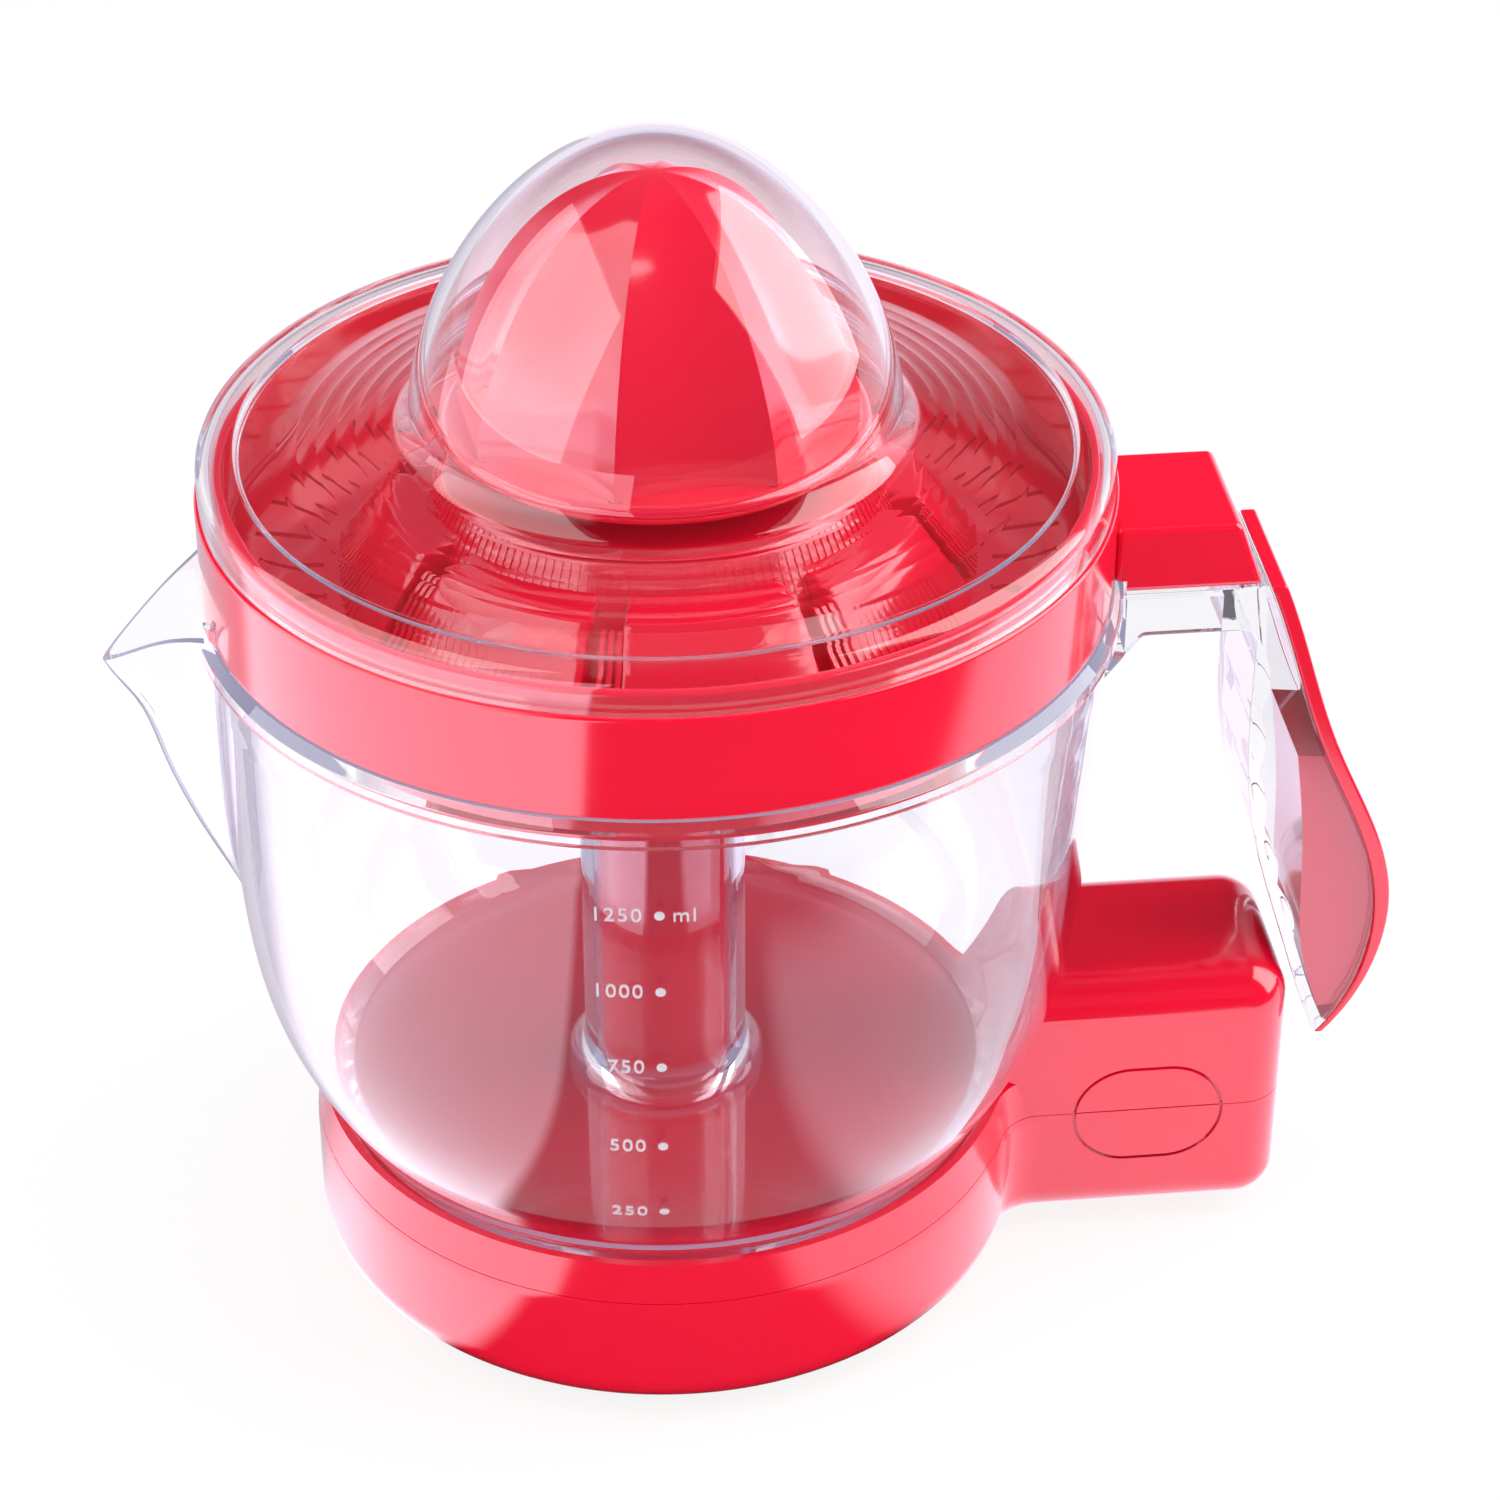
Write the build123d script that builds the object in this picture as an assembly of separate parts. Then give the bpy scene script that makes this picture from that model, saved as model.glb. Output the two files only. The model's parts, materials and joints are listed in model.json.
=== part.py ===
"""Citrus press juicer: motor base, clear jug, strainer, reamer cone and dust cover.

Millimetres, +Z up. The origin is on the spindle axis, in the plane of the table.
+X points to the handle and the motor box, -X to the spout.
"""
import math
import os

from build123d import *

# Housing
shell_wall = 2.4
foot_height = 2.5
lower_height = 24.5
base_rim_width = 5.3
base_bottom_round = 7.0
shoulder_drop = 2.0
seam_gap = 0.15
deck_rise = 4.8
lip_inset = 1.5
lip_height = 2.8
tower_r = 11.9
tower_wall = 2.2
tower_height = 76.2
tower_top_plate = 3.0

# Motor box
box_end_gap = 2.6
box_side_gap = 0.5
box_height = 52.7
box_round = 8.0
box_blend = 9.0
oval_length = 28.0
oval_height = 21.0
oval_depth = 0.8
oval_shift = 4.4
oval_drop = 1.0

# Jug, with its radii counted from the foot and its heights from the deck
jug_gap = 0.8
jug_wall = 2.2
jug_floor = 2.8
jug_foot_r = 59.2
jug_height = 104.9
jug_low_flare = 2.4
jug_low_rise = 4.3
jug_belly_flare = 11.8
jug_belly_rise = 24.0
jug_mid_flare = 16.2
jug_mid_rise = 54.8
jug_top_flare = 17.8
jug_neck = 11.7
jug_bead_out = 2.3
jug_bead_height = 4.4
tube_wall = 2.0
tube_gap = 0.8
tube_cap = 2.0
tube_mouth_gap = 4.0
tube_foot_out = 7.9
tube_foot_height = 9.0

# Spout
spout_root_rise = 38.2
spout_root_inset = 2.6
spout_reach = 18.3
spout_drop = 12.3
spout_half_width = 23.5
spout_root_half_width = 5.0
spout_tip_round = 4.0
spout_wall = 2.0
spout_lip_bow = 1.4
spout_flank = 0.5

# Handle
handle_half_width = 13.5
handle_wall = 2.2
handle_drop = 2.5
arm_depth = 8.6
arm_corner = 6.0
arm_gusset = 9.0
arm_gusset_reach = 5.0
grip_overhang = 11.0
grip_bulge = 28.3
grip_bulge_rise = 36.2
grip_tip_gap = 7.2
grip_tip_rise = 5.7
grip_hollow = 0.9
grip_hollow_z = 3.0
grip_heel = 1.5
grip_top_lean = 0.42
grip_tip_lean = 0.9
grip_heel_lean = 0.45
cover_thickness = 3.0
cover_tip_width = 1.6
cover_top_out = 4.6
cover_fit = 0.15
cover_edge_round = 1.2

# Strainer
seat_gap = 0.15
band_inset = 1.7
band_wall = 2.6
band_height = 18.65
bowl_edge_rise = 4.15
bowl_low_rise = 1.65
bowl_thickness = 2.0
hub_foot_r = 46.0
hub_top_r = 35.5
hub_height = 19.5
collar_wall = 2.84
collar_drop = 1.5
skirt_fit = 0.5
skirt_wall = 1.8
skirt_depth = 5.0
neck_height = 3.2
neck_wall = 2.0
slot_count = 40
slot_width = 1.4
slot_length = 12.0
petal_count = 8
petal_height = 15.0
petal_depth = 9.5
petal_top_depth = 7.6
petal_slope = 1.5
petal_gap_deg = 7.0
key_block_height = 12.6
key_block_end = 8.6
key_block_foot = 4.1

# Dust cover
cover_wall = 1.7
lid_inset = 0.6
lid_height = 7.9
lid_rim_width = 6.4
lid_dish_depth = 2.4
lid_edge_slope = 0.8
lid_step_count = 5
lid_step_rise = 1.25
lid_step_run = 4.4
lid_step_slope = 0.6
dome_gap = 5.4
dome_foot = 2.5
dome_foot_lean = 0.12
dome_top_gap = 6.3
dome_waist_inset = 7.4
dome_waist_drop = 24.6

# Reamer
ridge_count = 8
ridge_phase_deg = 29.0
reamer_lift = 7.0
reamer_rim_out = 1.4
reamer_rim_height = 3.6
reamer_foot_r = 34.6
reamer_height = 41.7
reamer_bluntness = 1.55
flute_ratio = 0.86
cone_sections = (0, 0.3, 0.6, 0.85, 0.985)
reamer_wall = 2.2
hollow_share = 0.6
stem_flats = 11.0
stem_clear = 8.0

# Drive bush
bush_r = 9.3
bush_running_fit = 0.06
bush_flange_out = 3.2
bush_flange_height = 2.0
bush_tail = 2.4
bush_lift = 0.3
stem_fit = 0.15
clip_height = 1.4
clip_width = 1.7

# Spindle
spindle_r = 3.0
spindle_fit = 0.04
spindle_square = 4.2
square_rise = 3.0
spindle_drop = 12.0
square_fit = 0.15
socket_headroom = 0.3
press_travel = 2.0
press_gap = 0.3

# Thrust plunger, spring and switch
plunger_r = 6.4
plunger_fit = 0.06
plunger_floor = 1.6
plunger_over_arm = 1.0
plunger_pocket_r = 5.0
plunger_pocket_depth = 2.2
guide_wall = 2.3
guide_height = 3.9
arm_reach = 18.0
arm_half_width = 2.5
arm_gap = 0.2
arm_height = 1.6
spring_r = 3.9
spring_wire_r = 0.4
spring_turns = 2.5
switch_length = 12.0
switch_half_width = 3.2
switch_gap = 0.4
button_r = 1.2
button_fit = 0.1
button_height = 3.5
button_gap = 0.05
button_from_end = 2.0

# Gear train
tooth_addendum = 0.85
tooth_dedendum = 1.15
tooth_root_share = 0.33
tooth_tip_share = 0.11
coarse_module = 1.0
fine_module = 0.8
output_teeth = 80
first_pinion_teeth = 12
first_wheel_teeth = 48
second_teeth = 28
motor_teeth = 10
output_gear_gap = 1.4
output_gear_height = 5.0
output_hub_r = 8.0
wheel_rise = 3.1
wheel_height = 4.0
pinion_over = 1.5
axle_r = 2.0
axle_fit = 0.04
axle_boss_r = 4.5
axle_boss_gap = 0.3

# Motor
rotor_r = 7.5
rotor_gap = 3.5
rotor_height = 14.0
rotor_over = 1.0
rotor_shaft_r = 1.5
motor_pinion_drop = 1.0
motor_pinion_over = 1.5
bracket_gap = 2.0
air_gap = 0.6
stator_r = 16.4
coil_width = 1.5
coil_height = 2.6
coil_inset = 0.9
plate_thickness = 2.0
plate_end_gap = 2.2
plate_side_gap = 1.6
screw_circle_inset = 3.2
motor_screw_angles = (45, -45, 110, -110)
motor_screw_r = 1.3
motor_head_r = 2.6
motor_head_height = 1.8
motor_post_r = 2.8
motor_spacer_r = 2.4

# Fasteners, feet and inlet
housing_screw_r = 1.4
housing_head_r = 3.0
housing_head_height = 2.3
housing_head_recess = 1.7
housing_boss_r = 4.0
housing_boss_drop = 9.0
housing_screw_length = 18.0
housing_screw_inset = 10.5
housing_screw_angles = (60, 120, 240, 300)
screw_clearance = 0.3
foot_r = 5.5
foot_spigot_r = 2.0
foot_inset = 14.5
foot_angles = (30, 150, 210, 330)
gland_from_end = 13.0
gland_rise = 12.5
gland_r = 4.6
gland_flange_r = 6.2
gland_length = 4.0
gland_bore_r = 3.2

# How far the middle of a quarter circle lies from its corner, as a share of the radius
arc_slack = 1 - math.sqrt(0.5)

# Heights and radii of the base
base_bottom_z = foot_height
floor_z = base_bottom_z + shell_wall
seam_z = base_bottom_z + lower_height
base_shoulder_z = seam_z - shoulder_drop
deck_z = seam_z + deck_rise
deck_under_z = deck_z - shell_wall
lip_z = deck_z + lip_height
base_r = jug_foot_r + base_rim_width
lip_r = base_r - lip_inset
tower_top_z = deck_z + tower_height

# Heights and radii of the jug
jug_low_r = jug_foot_r + jug_low_flare
jug_low_z = deck_z + jug_low_rise
jug_belly_r = jug_foot_r + jug_belly_flare
jug_belly_z = deck_z + jug_belly_rise
jug_mid_r = jug_foot_r + jug_mid_flare
jug_mid_z = deck_z + jug_mid_rise
jug_top_r = jug_foot_r + jug_top_flare
jug_inner_r = jug_top_r - jug_wall
jug_rim_z = deck_z + jug_height
jug_top_z = jug_rim_z - jug_neck
jug_rim_r = jug_top_r + jug_bead_out
jug_floor_z = deck_z + jug_floor
tube_inner_r = tower_r + tube_gap
tube_r = tube_inner_r + tube_wall
tube_foot_r = tube_r + tube_foot_out
tube_mouth_r = spindle_r + tube_mouth_gap
tube_top_z = tower_top_z + 2 * tube_cap
spout_root_z = deck_z + spout_root_rise
spout_tip_r = jug_top_r + spout_reach
spout_tip_z = jug_rim_z - spout_drop

# Heights of the drive, from the floor of the base upwards
plunger_bottom_z = floor_z + press_travel + press_gap
spindle_bottom_z = plunger_bottom_z + plunger_pocket_depth + plunger_floor
guide_top_z = floor_z + guide_height
arm_bottom_z = guide_top_z + press_travel + arm_gap
plunger_top_z = arm_bottom_z + arm_height + plunger_over_arm
switch_x = button_from_end - arm_reach
switch_height = arm_bottom_z - press_travel - switch_gap - floor_z
wheel_z = floor_z + wheel_rise
output_gear_z = plunger_top_z + output_gear_gap
first_pinion_top_z = output_gear_z + output_gear_height + pinion_over
first_x = coarse_module * (output_teeth + first_pinion_teeth) / 2
second_x = first_x + fine_module * (first_wheel_teeth + second_teeth) / 2
motor_x = second_x + fine_module * (second_teeth + motor_teeth) / 2
motor_pinion_z = wheel_z - motor_pinion_drop
motor_pinion_height = wheel_height + motor_pinion_drop + motor_pinion_over
bracket_z = motor_pinion_z + motor_pinion_height + bracket_gap
rotor_bottom_z = bracket_z + plate_thickness + rotor_gap
stator_bottom_z = rotor_bottom_z + rotor_over
stator_height = rotor_height - 2 * rotor_over
stator_top_z = stator_bottom_z + stator_height
screw_circle_r = stator_r - screw_circle_inset
cap_z = stator_top_z + coil_height + coil_inset

# Motor box, feet and inlet round the drive
box_end_x = motor_x + stator_r + box_end_gap + shell_wall
box_half_width = stator_r + box_side_gap + shell_wall
box_top_z = base_bottom_z + box_height
oval_x = motor_x - oval_shift
oval_z = seam_z - oval_drop
housing_boss_split_z = seam_z - housing_boss_drop
housing_screw_circle = base_r - housing_screw_inset
foot_circle = base_r - foot_inset
gland_x = box_end_x - gland_from_end
gland_z = base_bottom_z + gland_rise

# Handle beside the jug and clear of the motor box
handle_top_z = jug_rim_z - handle_drop
arm_under_z = handle_top_z - arm_depth
grip_inner_x = box_end_x - grip_overhang
grip_bulge_x = grip_inner_x + grip_bulge
grip_bulge_z = deck_z + grip_bulge_rise
grip_heel_x = box_end_x - grip_heel
grip_tip_x = box_end_x + grip_tip_gap
grip_tip_z = deck_z + grip_tip_rise
cover_top_x = grip_inner_x + cover_top_out

# Strainer on the jug, and what stands in and on it
band_r = jug_rim_r - band_inset
band_bottom_z = jug_rim_z + seat_gap
band_top_z = band_bottom_z + band_height
bowl_edge_z = band_bottom_z + bowl_edge_rise
bowl_low_z = band_bottom_z + bowl_low_rise
hub_top_z = bowl_low_z + hub_height
collar_r = bush_r + bush_running_fit + collar_wall
collar_bottom_z = bowl_low_z - collar_drop
key_block_top_z = handle_top_z + key_block_height
key_block_end_x = cover_top_x - key_block_end
key_block_foot_x = cover_top_x - key_block_foot
bush_flange_r = bush_r + bush_flange_out
bush_bottom_z = collar_bottom_z - bush_tail
bush_bore_flats = stem_flats + 2 * stem_fit
socket_side = spindle_square + 2 * square_fit
square_bottom_z = tower_top_z + square_rise
spindle_top_z = hub_top_z - spindle_drop
stem_bottom_z = tube_top_z + stem_clear
reamer_rim_r = reamer_foot_r + reamer_rim_out
reamer_rim_z = hub_top_z + reamer_lift
reamer_foot_z = reamer_rim_z + reamer_rim_height
reamer_top_z = reamer_foot_z + reamer_height

# Dust cover on the strainer and over the reamer
lid_r = band_r - lid_inset
lid_rim_top = band_top_z + lid_height
lid_dish_z = lid_rim_top - lid_dish_depth
dome_r = reamer_rim_r + dome_gap
dome_top_z = reamer_top_z + dome_top_gap
dome_waist_r = dome_r - dome_waist_inset
dome_waist_z = dome_top_z - dome_waist_drop


def disc(radius, low, high, x=0.0, y=0.0):
    """Upright cylinder between two heights."""
    return Pos(x, y, (low + high) / 2) * Cylinder(radius, high - low)


def ring(outer, inner, low, high, x=0.0, y=0.0):
    """Upright tube between two heights."""
    return disc(outer, low, high, x, y) - disc(inner, low - 1, high + 1, x, y)


def block(x0, x1, y0, y1, z0, z1):
    """Box between two corners."""
    size = Box(x1 - x0, y1 - y0, z1 - z0)
    return Pos((x0 + x1) / 2, (y0 + y1) / 2, (z0 + z1) / 2) * size


def turned(*curves):
    """Solid of revolution from a closed outline of (radius, height) curves."""
    return revolve(make_face(Curve() + list(curves)), Axis.Z)


def line(*points):
    """Straight outline through (radius, height) points."""
    return Polyline(*[(r, 0, z) for r, z in points])


def rounded_corner(radius, low, rounding):
    """Quarter circle at the lower outer corner of an outline."""
    slack = rounding * arc_slack
    return ThreePointArc(
        (radius - rounding, 0, low),
        (radius - slack, 0, low + slack),
        (radius, 0, low + rounding),
    )


def on_circle(radius, angle, x=0.0):
    """Point at an angle on a circle about an axis on the X axis."""
    turn = math.radians(angle)
    return x + radius * math.cos(turn), radius * math.sin(turn)


def gear(module, teeth, low, high, x, bore, first_tooth_deg=0.0):
    """Straight-sided spur gear with its first tooth at an angle."""
    pitch_r = module * teeth / 2
    tip_r = pitch_r + tooth_addendum * module
    root_r = pitch_r - tooth_dedendum * module
    flank = (
        (root_r, -tooth_root_share),
        (tip_r, -tooth_tip_share),
        (tip_r, tooth_tip_share),
        (root_r, tooth_root_share),
    )
    pitch_deg = 360 / teeth
    points = []
    for index in range(teeth):
        middle = first_tooth_deg + index * pitch_deg
        for radius, share in flank:
            points.append(on_circle(radius, middle + share * pitch_deg))
    blank = extrude(make_face(Polyline(*points, close=True)), high - low)
    return Pos(x, 0, low) * blank - disc(bore, low - 1, high + 1, x)


def jug_wall_curve(offset):
    """Side of the jug from its foot to below its rim, moved outwards by an offset."""
    points = (
        (jug_low_r, jug_low_z),
        (jug_belly_r, jug_belly_z),
        (jug_mid_r, jug_mid_z),
        (jug_top_r, jug_top_z),
    )
    return Spline(*[(r + offset, 0, z) for r, z in points])


def jug_solid(offset, bottom_z, top_z):
    """Filled jug shape with its side moved outwards by an offset."""
    outline = line(
        (jug_top_r + offset, jug_top_z),
        (jug_top_r + offset, top_z),
        (0, top_z),
        (0, bottom_z),
        (jug_foot_r + offset, bottom_z),
        (jug_low_r + offset, jug_low_z),
    )
    return turned(outline, jug_wall_curve(offset))


def rounded_box(inset):
    """Motor box with all its edges rounded, inset by a wall."""
    body = block(
        0,
        box_end_x - inset,
        -box_half_width + inset,
        box_half_width - inset,
        base_bottom_z + inset,
        box_top_z - inset,
    )
    return fillet(body.edges(), box_round - inset)


def plan_outline():
    """Plan of the base: a disc with the motor box blended into its side."""
    plan = Circle(base_r) + Pos(box_end_x / 2, 0) * Rectangle(box_end_x, 2 * box_half_width)
    corners = plan.vertices().sort_by(Axis.X)
    plan = fillet(corners[-2:], box_round)
    join_x = math.sqrt(base_r ** 2 - box_half_width ** 2)
    joins = [corner for corner in plan.vertices() if abs(corner.X - join_x) < seam_gap]
    return fillet(joins, box_blend)


def housing_outside():
    """Outside of the whole base before it is split at the seam."""
    lower = extrude(Pos(0, 0, base_bottom_z) * plan_outline(), base_shoulder_z - base_bottom_z)
    lower = fillet(lower.faces().sort_by(Axis.Z)[0].edges(), base_bottom_round)
    shoulder_height = lip_z - base_shoulder_z
    lean = math.degrees(math.atan2(lip_inset, shoulder_height))
    shoulder = extrude(Pos(0, 0, base_shoulder_z) * plan_outline(), shoulder_height, taper=lean)
    return lower + shoulder + rounded_box(0) - jug_solid(jug_gap, deck_z, jug_rim_z)


def housing_inside():
    """Hollow of the base under the deck and in the motor box."""
    corner = base_bottom_round - shell_wall
    inner_r = base_r - shell_wall
    round_part = turned(
        line((0, deck_under_z), (0, floor_z), (inner_r - corner, floor_z)),
        rounded_corner(inner_r, floor_z, corner),
        line((inner_r, floor_z + corner), (inner_r, base_shoulder_z)),
        line((inner_r, base_shoulder_z), (lip_r - shell_wall, deck_under_z), (0, deck_under_z)),
    )
    jug_side = jug_solid(jug_gap + shell_wall, deck_under_z, jug_rim_z)
    return round_part + (rounded_box(shell_wall) - jug_side)


def oval_recess():
    """Shallow oval panel in the front of the motor box."""
    oval = SlotOverall(oval_length, oval_height)
    face = Plane((oval_x, -box_half_width, oval_z), (1, 0, 0), (0, -1, 0)) * oval
    return extrude(face, -oval_depth)


def half_space(low, high):
    """Slab that holds everything between two heights."""
    reach = 4 * base_r
    return block(-reach, reach, -reach, reach, low, high)


def base_lower_shell():
    shell = (housing_outside() - housing_inside()) & half_space(0, seam_z - seam_gap)
    shell -= oval_recess()
    for angle in housing_screw_angles:
        x, y = on_circle(housing_screw_circle, angle)
        shell += disc(housing_boss_r, base_bottom_z, housing_boss_split_z, x, y)
        head_top = base_bottom_z + housing_head_recess + housing_head_height
        shell -= disc(housing_head_r + screw_clearance, 0, head_top, x, y)
        shell -= disc(housing_screw_r + screw_clearance, 0, housing_boss_split_z + 1, x, y)
    for angle in foot_angles:
        x, y = on_circle(foot_circle, angle)
        shell -= disc(foot_spigot_r, 0, floor_z + 1, x, y)
    shell += ring(plunger_r + plunger_fit + guide_wall, plunger_r + plunger_fit, floor_z, guide_top_z)
    for x in (first_x, second_x):
        shell += disc(axle_boss_r, base_bottom_z, wheel_z - axle_boss_gap, x)
        shell -= disc(axle_r, floor_z, wheel_z, x)
    for angle in motor_screw_angles:
        x, y = on_circle(screw_circle_r, angle, motor_x)
        shell += disc(motor_post_r, base_bottom_z + shell_wall / 2, bracket_z, x, y)
        shell -= disc(motor_screw_r, floor_z, bracket_z + 1, x, y)
    shell -= gland_hole()
    return shell


def gland_hole():
    """Hole for the lead in the back of the motor box."""
    hole = Pos(gland_x, box_half_width, gland_z) * Rot(90, 0, 0) * Cylinder(gland_r, 4 * shell_wall)
    return hole


def base_upper_shell():
    shell = (housing_outside() - housing_inside()) & half_space(seam_z, box_top_z + 1)
    shell -= oval_recess()
    shell += disc(tower_r, deck_under_z, tower_top_z)
    shell -= disc(tower_r - tower_wall, 0, tower_top_z - tower_top_plate)
    shell -= disc(spindle_r + tower_wall, 0, tower_top_z + 1)
    for angle in housing_screw_angles:
        x, y = on_circle(housing_screw_circle, angle)
        shell += disc(housing_boss_r, housing_boss_split_z, deck_z - shell_wall / 2, x, y)
        head_top = base_bottom_z + housing_head_recess + housing_head_height
        shell -= disc(housing_screw_r, 0, head_top + housing_screw_length, x, y)
    axle_top = first_pinion_top_z + axle_boss_gap
    shell += disc(axle_r + 1, axle_top + axle_boss_gap, deck_z - shell_wall / 2, first_x)
    return shell


def housing_screws():
    group = []
    low = base_bottom_z + housing_head_recess
    for angle in housing_screw_angles:
        x, y = on_circle(housing_screw_circle, angle)
        head = disc(housing_head_r, low, low + housing_head_height, x, y)
        shank_low = low + housing_head_height
        shank = disc(housing_screw_r, shank_low, shank_low + housing_screw_length, x, y)
        group.append(head + shank)
    return Compound(children=group)


def rubber_feet():
    group = []
    for angle in foot_angles:
        x, y = on_circle(foot_circle, angle)
        group.append(disc(foot_r, 0, base_bottom_z, x, y) + disc(foot_spigot_r, base_bottom_z, floor_z, x, y))
    return Compound(children=group)


def cord_gland():
    start = box_half_width - shell_wall
    sleeve = Cylinder(gland_r, shell_wall, align=(Align.CENTER, Align.CENTER, Align.MIN))
    nose = Pos(0, 0, shell_wall) * Cone(
        gland_flange_r, gland_r, gland_length, align=(Align.CENTER, Align.CENTER, Align.MIN)
    )
    bore = Cylinder(gland_bore_r, 4 * gland_length)
    return Pos(gland_x, start, gland_z) * Rot(-90, 0, 0) * (sleeve + nose - bore)


def spout_sections(inset):
    """Horizontal sections of the spout from its root in the wall up to the height of the rim."""
    rise = jug_rim_z - spout_root_z
    root_r = jug_mid_r - spout_root_inset
    keel_lean = (spout_tip_r - root_r) / (spout_tip_z - spout_root_z)
    faces = []
    for share in (0, 1 / 3, 2 / 3, 1):
        reach = root_r + keel_lean * share * rise - inset
        half = spout_root_half_width + (spout_half_width - spout_root_half_width) * share - inset / 2
        wall_r = jug_mid_r + (jug_top_r - jug_mid_r) * share - spout_root_inset - inset
        root_x = math.sqrt(wall_r ** 2 - half ** 2)
        bend_x = root_x + spout_flank * half * half / wall_r
        bend_y = half - spout_flank * half * root_x / wall_r
        upper = Bezier((-root_x, half), (-bend_x, bend_y), (-reach, spout_tip_round), (-reach, 0))
        lower = Bezier((-reach, 0), (-reach, -spout_tip_round), (-bend_x, -bend_y), (-root_x, -half))
        inside = Polyline((-root_x, -half), (0, -half), (0, half), (-root_x, half))
        section = make_face(Curve() + [upper, lower, inside])
        faces.append(Pos(0, 0, spout_root_z + share * rise + inset) * section)
    return faces


def spout_solid(inset):
    return loft(spout_sections(inset))


def lip_cut():
    """Everything above the lip that falls from the jug's rim to the tip of the spout."""
    reach = 2 * jug_rim_r
    low_z = spout_tip_z - (reach - spout_tip_r) / 2
    middle = ((jug_rim_r + spout_tip_r) / 2, (jug_rim_z + spout_tip_z) / 2 + spout_lip_bow)
    lip = ThreePointArc(
        (-jug_top_r, 0, jug_rim_z),
        (-middle[0], 0, middle[1]),
        (-spout_tip_r, 0, spout_tip_z),
    )
    rest = Polyline(
        (-spout_tip_r, 0, spout_tip_z),
        (-reach, 0, low_z),
        (-reach, 0, 2 * jug_rim_z),
        (-jug_top_r, 0, 2 * jug_rim_z),
        (-jug_top_r, 0, jug_rim_z),
    )
    return extrude(make_face(lip + rest), 2 * spout_half_width, both=True)


def grip_outline(outer_inset, inner_inset):
    """Side view of the hook handle, from the top of its arm round to its free tip."""
    top_x = cover_top_x - outer_inset
    middle_x = (cover_top_x + grip_bulge_x) / 2 - outer_inset
    middle_z = (handle_top_z + grip_bulge_z) / 2 - grip_hollow
    tip_x = grip_tip_x - cover_tip_width * outer_inset / cover_thickness + inner_inset / 2
    tip = (tip_x, 0, grip_tip_z + inner_inset)
    outer = Spline(
        (top_x, 0, handle_top_z - inner_inset),
        (middle_x, 0, middle_z),
        (grip_bulge_x - outer_inset, 0, grip_bulge_z),
        tip,
        tangents=((grip_top_lean, 0, -1), (-grip_tip_lean, 0, -1)),
    )
    inner_x = grip_inner_x + inner_inset
    inner = Spline(
        tip,
        (grip_heel_x + inner_inset, 0, box_top_z + grip_hollow_z),
        (inner_x + grip_hollow, 0, (arm_under_z + box_top_z) / 2),
        (inner_x, 0, arm_under_z - arm_corner),
        tangents=((-grip_heel_lean, 0, 1), (0, 0, 1)),
    )
    return outer, inner


def side_plate(curves, half_width):
    """Plate of a given half width with its side view in the XZ plane."""
    return extrude(make_face(Curve() + list(curves)), half_width, both=True)


def jug_handle():
    """Clear channel: an arm out from the rim and a hook-shaped grip, open on its outer side."""
    outer, inner = grip_outline(cover_thickness, 0)
    end_z = arm_under_z - arm_corner
    top_x = cover_top_x - cover_thickness
    root_x = jug_top_r - jug_wall / 2
    arm = line(
        (grip_inner_x, end_z),
        (grip_inner_x - arm_corner, arm_under_z),
        (jug_top_r + arm_gusset_reach, arm_under_z),
        (root_x, arm_under_z - arm_gusset),
        (root_x, handle_top_z),
        (top_x, handle_top_z),
    )
    body = side_plate((outer, inner, arm), handle_half_width)
    mouth = cover_thickness / 3
    outer, inner = grip_outline(cover_thickness - mouth, handle_wall)
    under_z = handle_top_z - handle_wall
    close = line((grip_inner_x + handle_wall, end_z), (top_x, under_z), (top_x + mouth, under_z))
    hollow = side_plate((outer, inner, close), handle_half_width - handle_wall)
    return body - hollow - hollow_arm()


def hollow_arm():
    """Space under the top plate of the arm, open below."""
    return block(
        jug_top_r + handle_wall,
        grip_inner_x - arm_corner,
        -handle_half_width + handle_wall,
        handle_half_width - handle_wall,
        arm_under_z - 2 * arm_gusset,
        handle_top_z - handle_wall,
    )


def handle_cover():
    outer, _ = grip_outline(0, 0)
    inner, _ = grip_outline(cover_thickness - cover_fit, 0)
    top = Line(outer @ 0, inner @ 0)
    tip = Line(outer @ 1, inner @ 1)
    shell = side_plate((outer, inner, top, tip), handle_half_width)
    back = shell.faces().sort_by(Axis.X)[-1]
    long_edges = back.edges().sort_by(SortBy.LENGTH)[-2:]
    return fillet(long_edges, cover_edge_round)


def jug():
    bead_low = jug_rim_z - jug_bead_height
    body = jug_solid(0, deck_z, jug_rim_z)
    body += ring(jug_rim_r, jug_top_r - 1, bead_low, jug_rim_z)
    body += spout_solid(0) - lip_cut()
    hollow = jug_solid(-jug_wall, jug_floor_z, jug_rim_z + 1)
    hollow += spout_solid(spout_wall)
    body -= hollow
    flare = turned(
        line((tube_r, jug_floor_z + tube_foot_height), (0, jug_floor_z + tube_foot_height)),
        line((0, jug_floor_z + tube_foot_height), (0, jug_floor_z), (tube_foot_r, jug_floor_z)),
        ThreePointArc(
            (tube_foot_r, 0, jug_floor_z),
            (tube_r + tube_foot_out * arc_slack, 0, jug_floor_z + tube_foot_height * arc_slack),
            (tube_r, 0, jug_floor_z + tube_foot_height),
        ),
    )
    body += flare + disc(tube_r, deck_z, tube_top_z)
    body -= disc(tube_inner_r, 0, tube_top_z - tube_cap)
    body -= disc(tube_mouth_r, 0, tube_top_z + 1)
    body += jug_handle() - jug_solid(-jug_wall / 2, deck_z, jug_rim_z)
    return body


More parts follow.
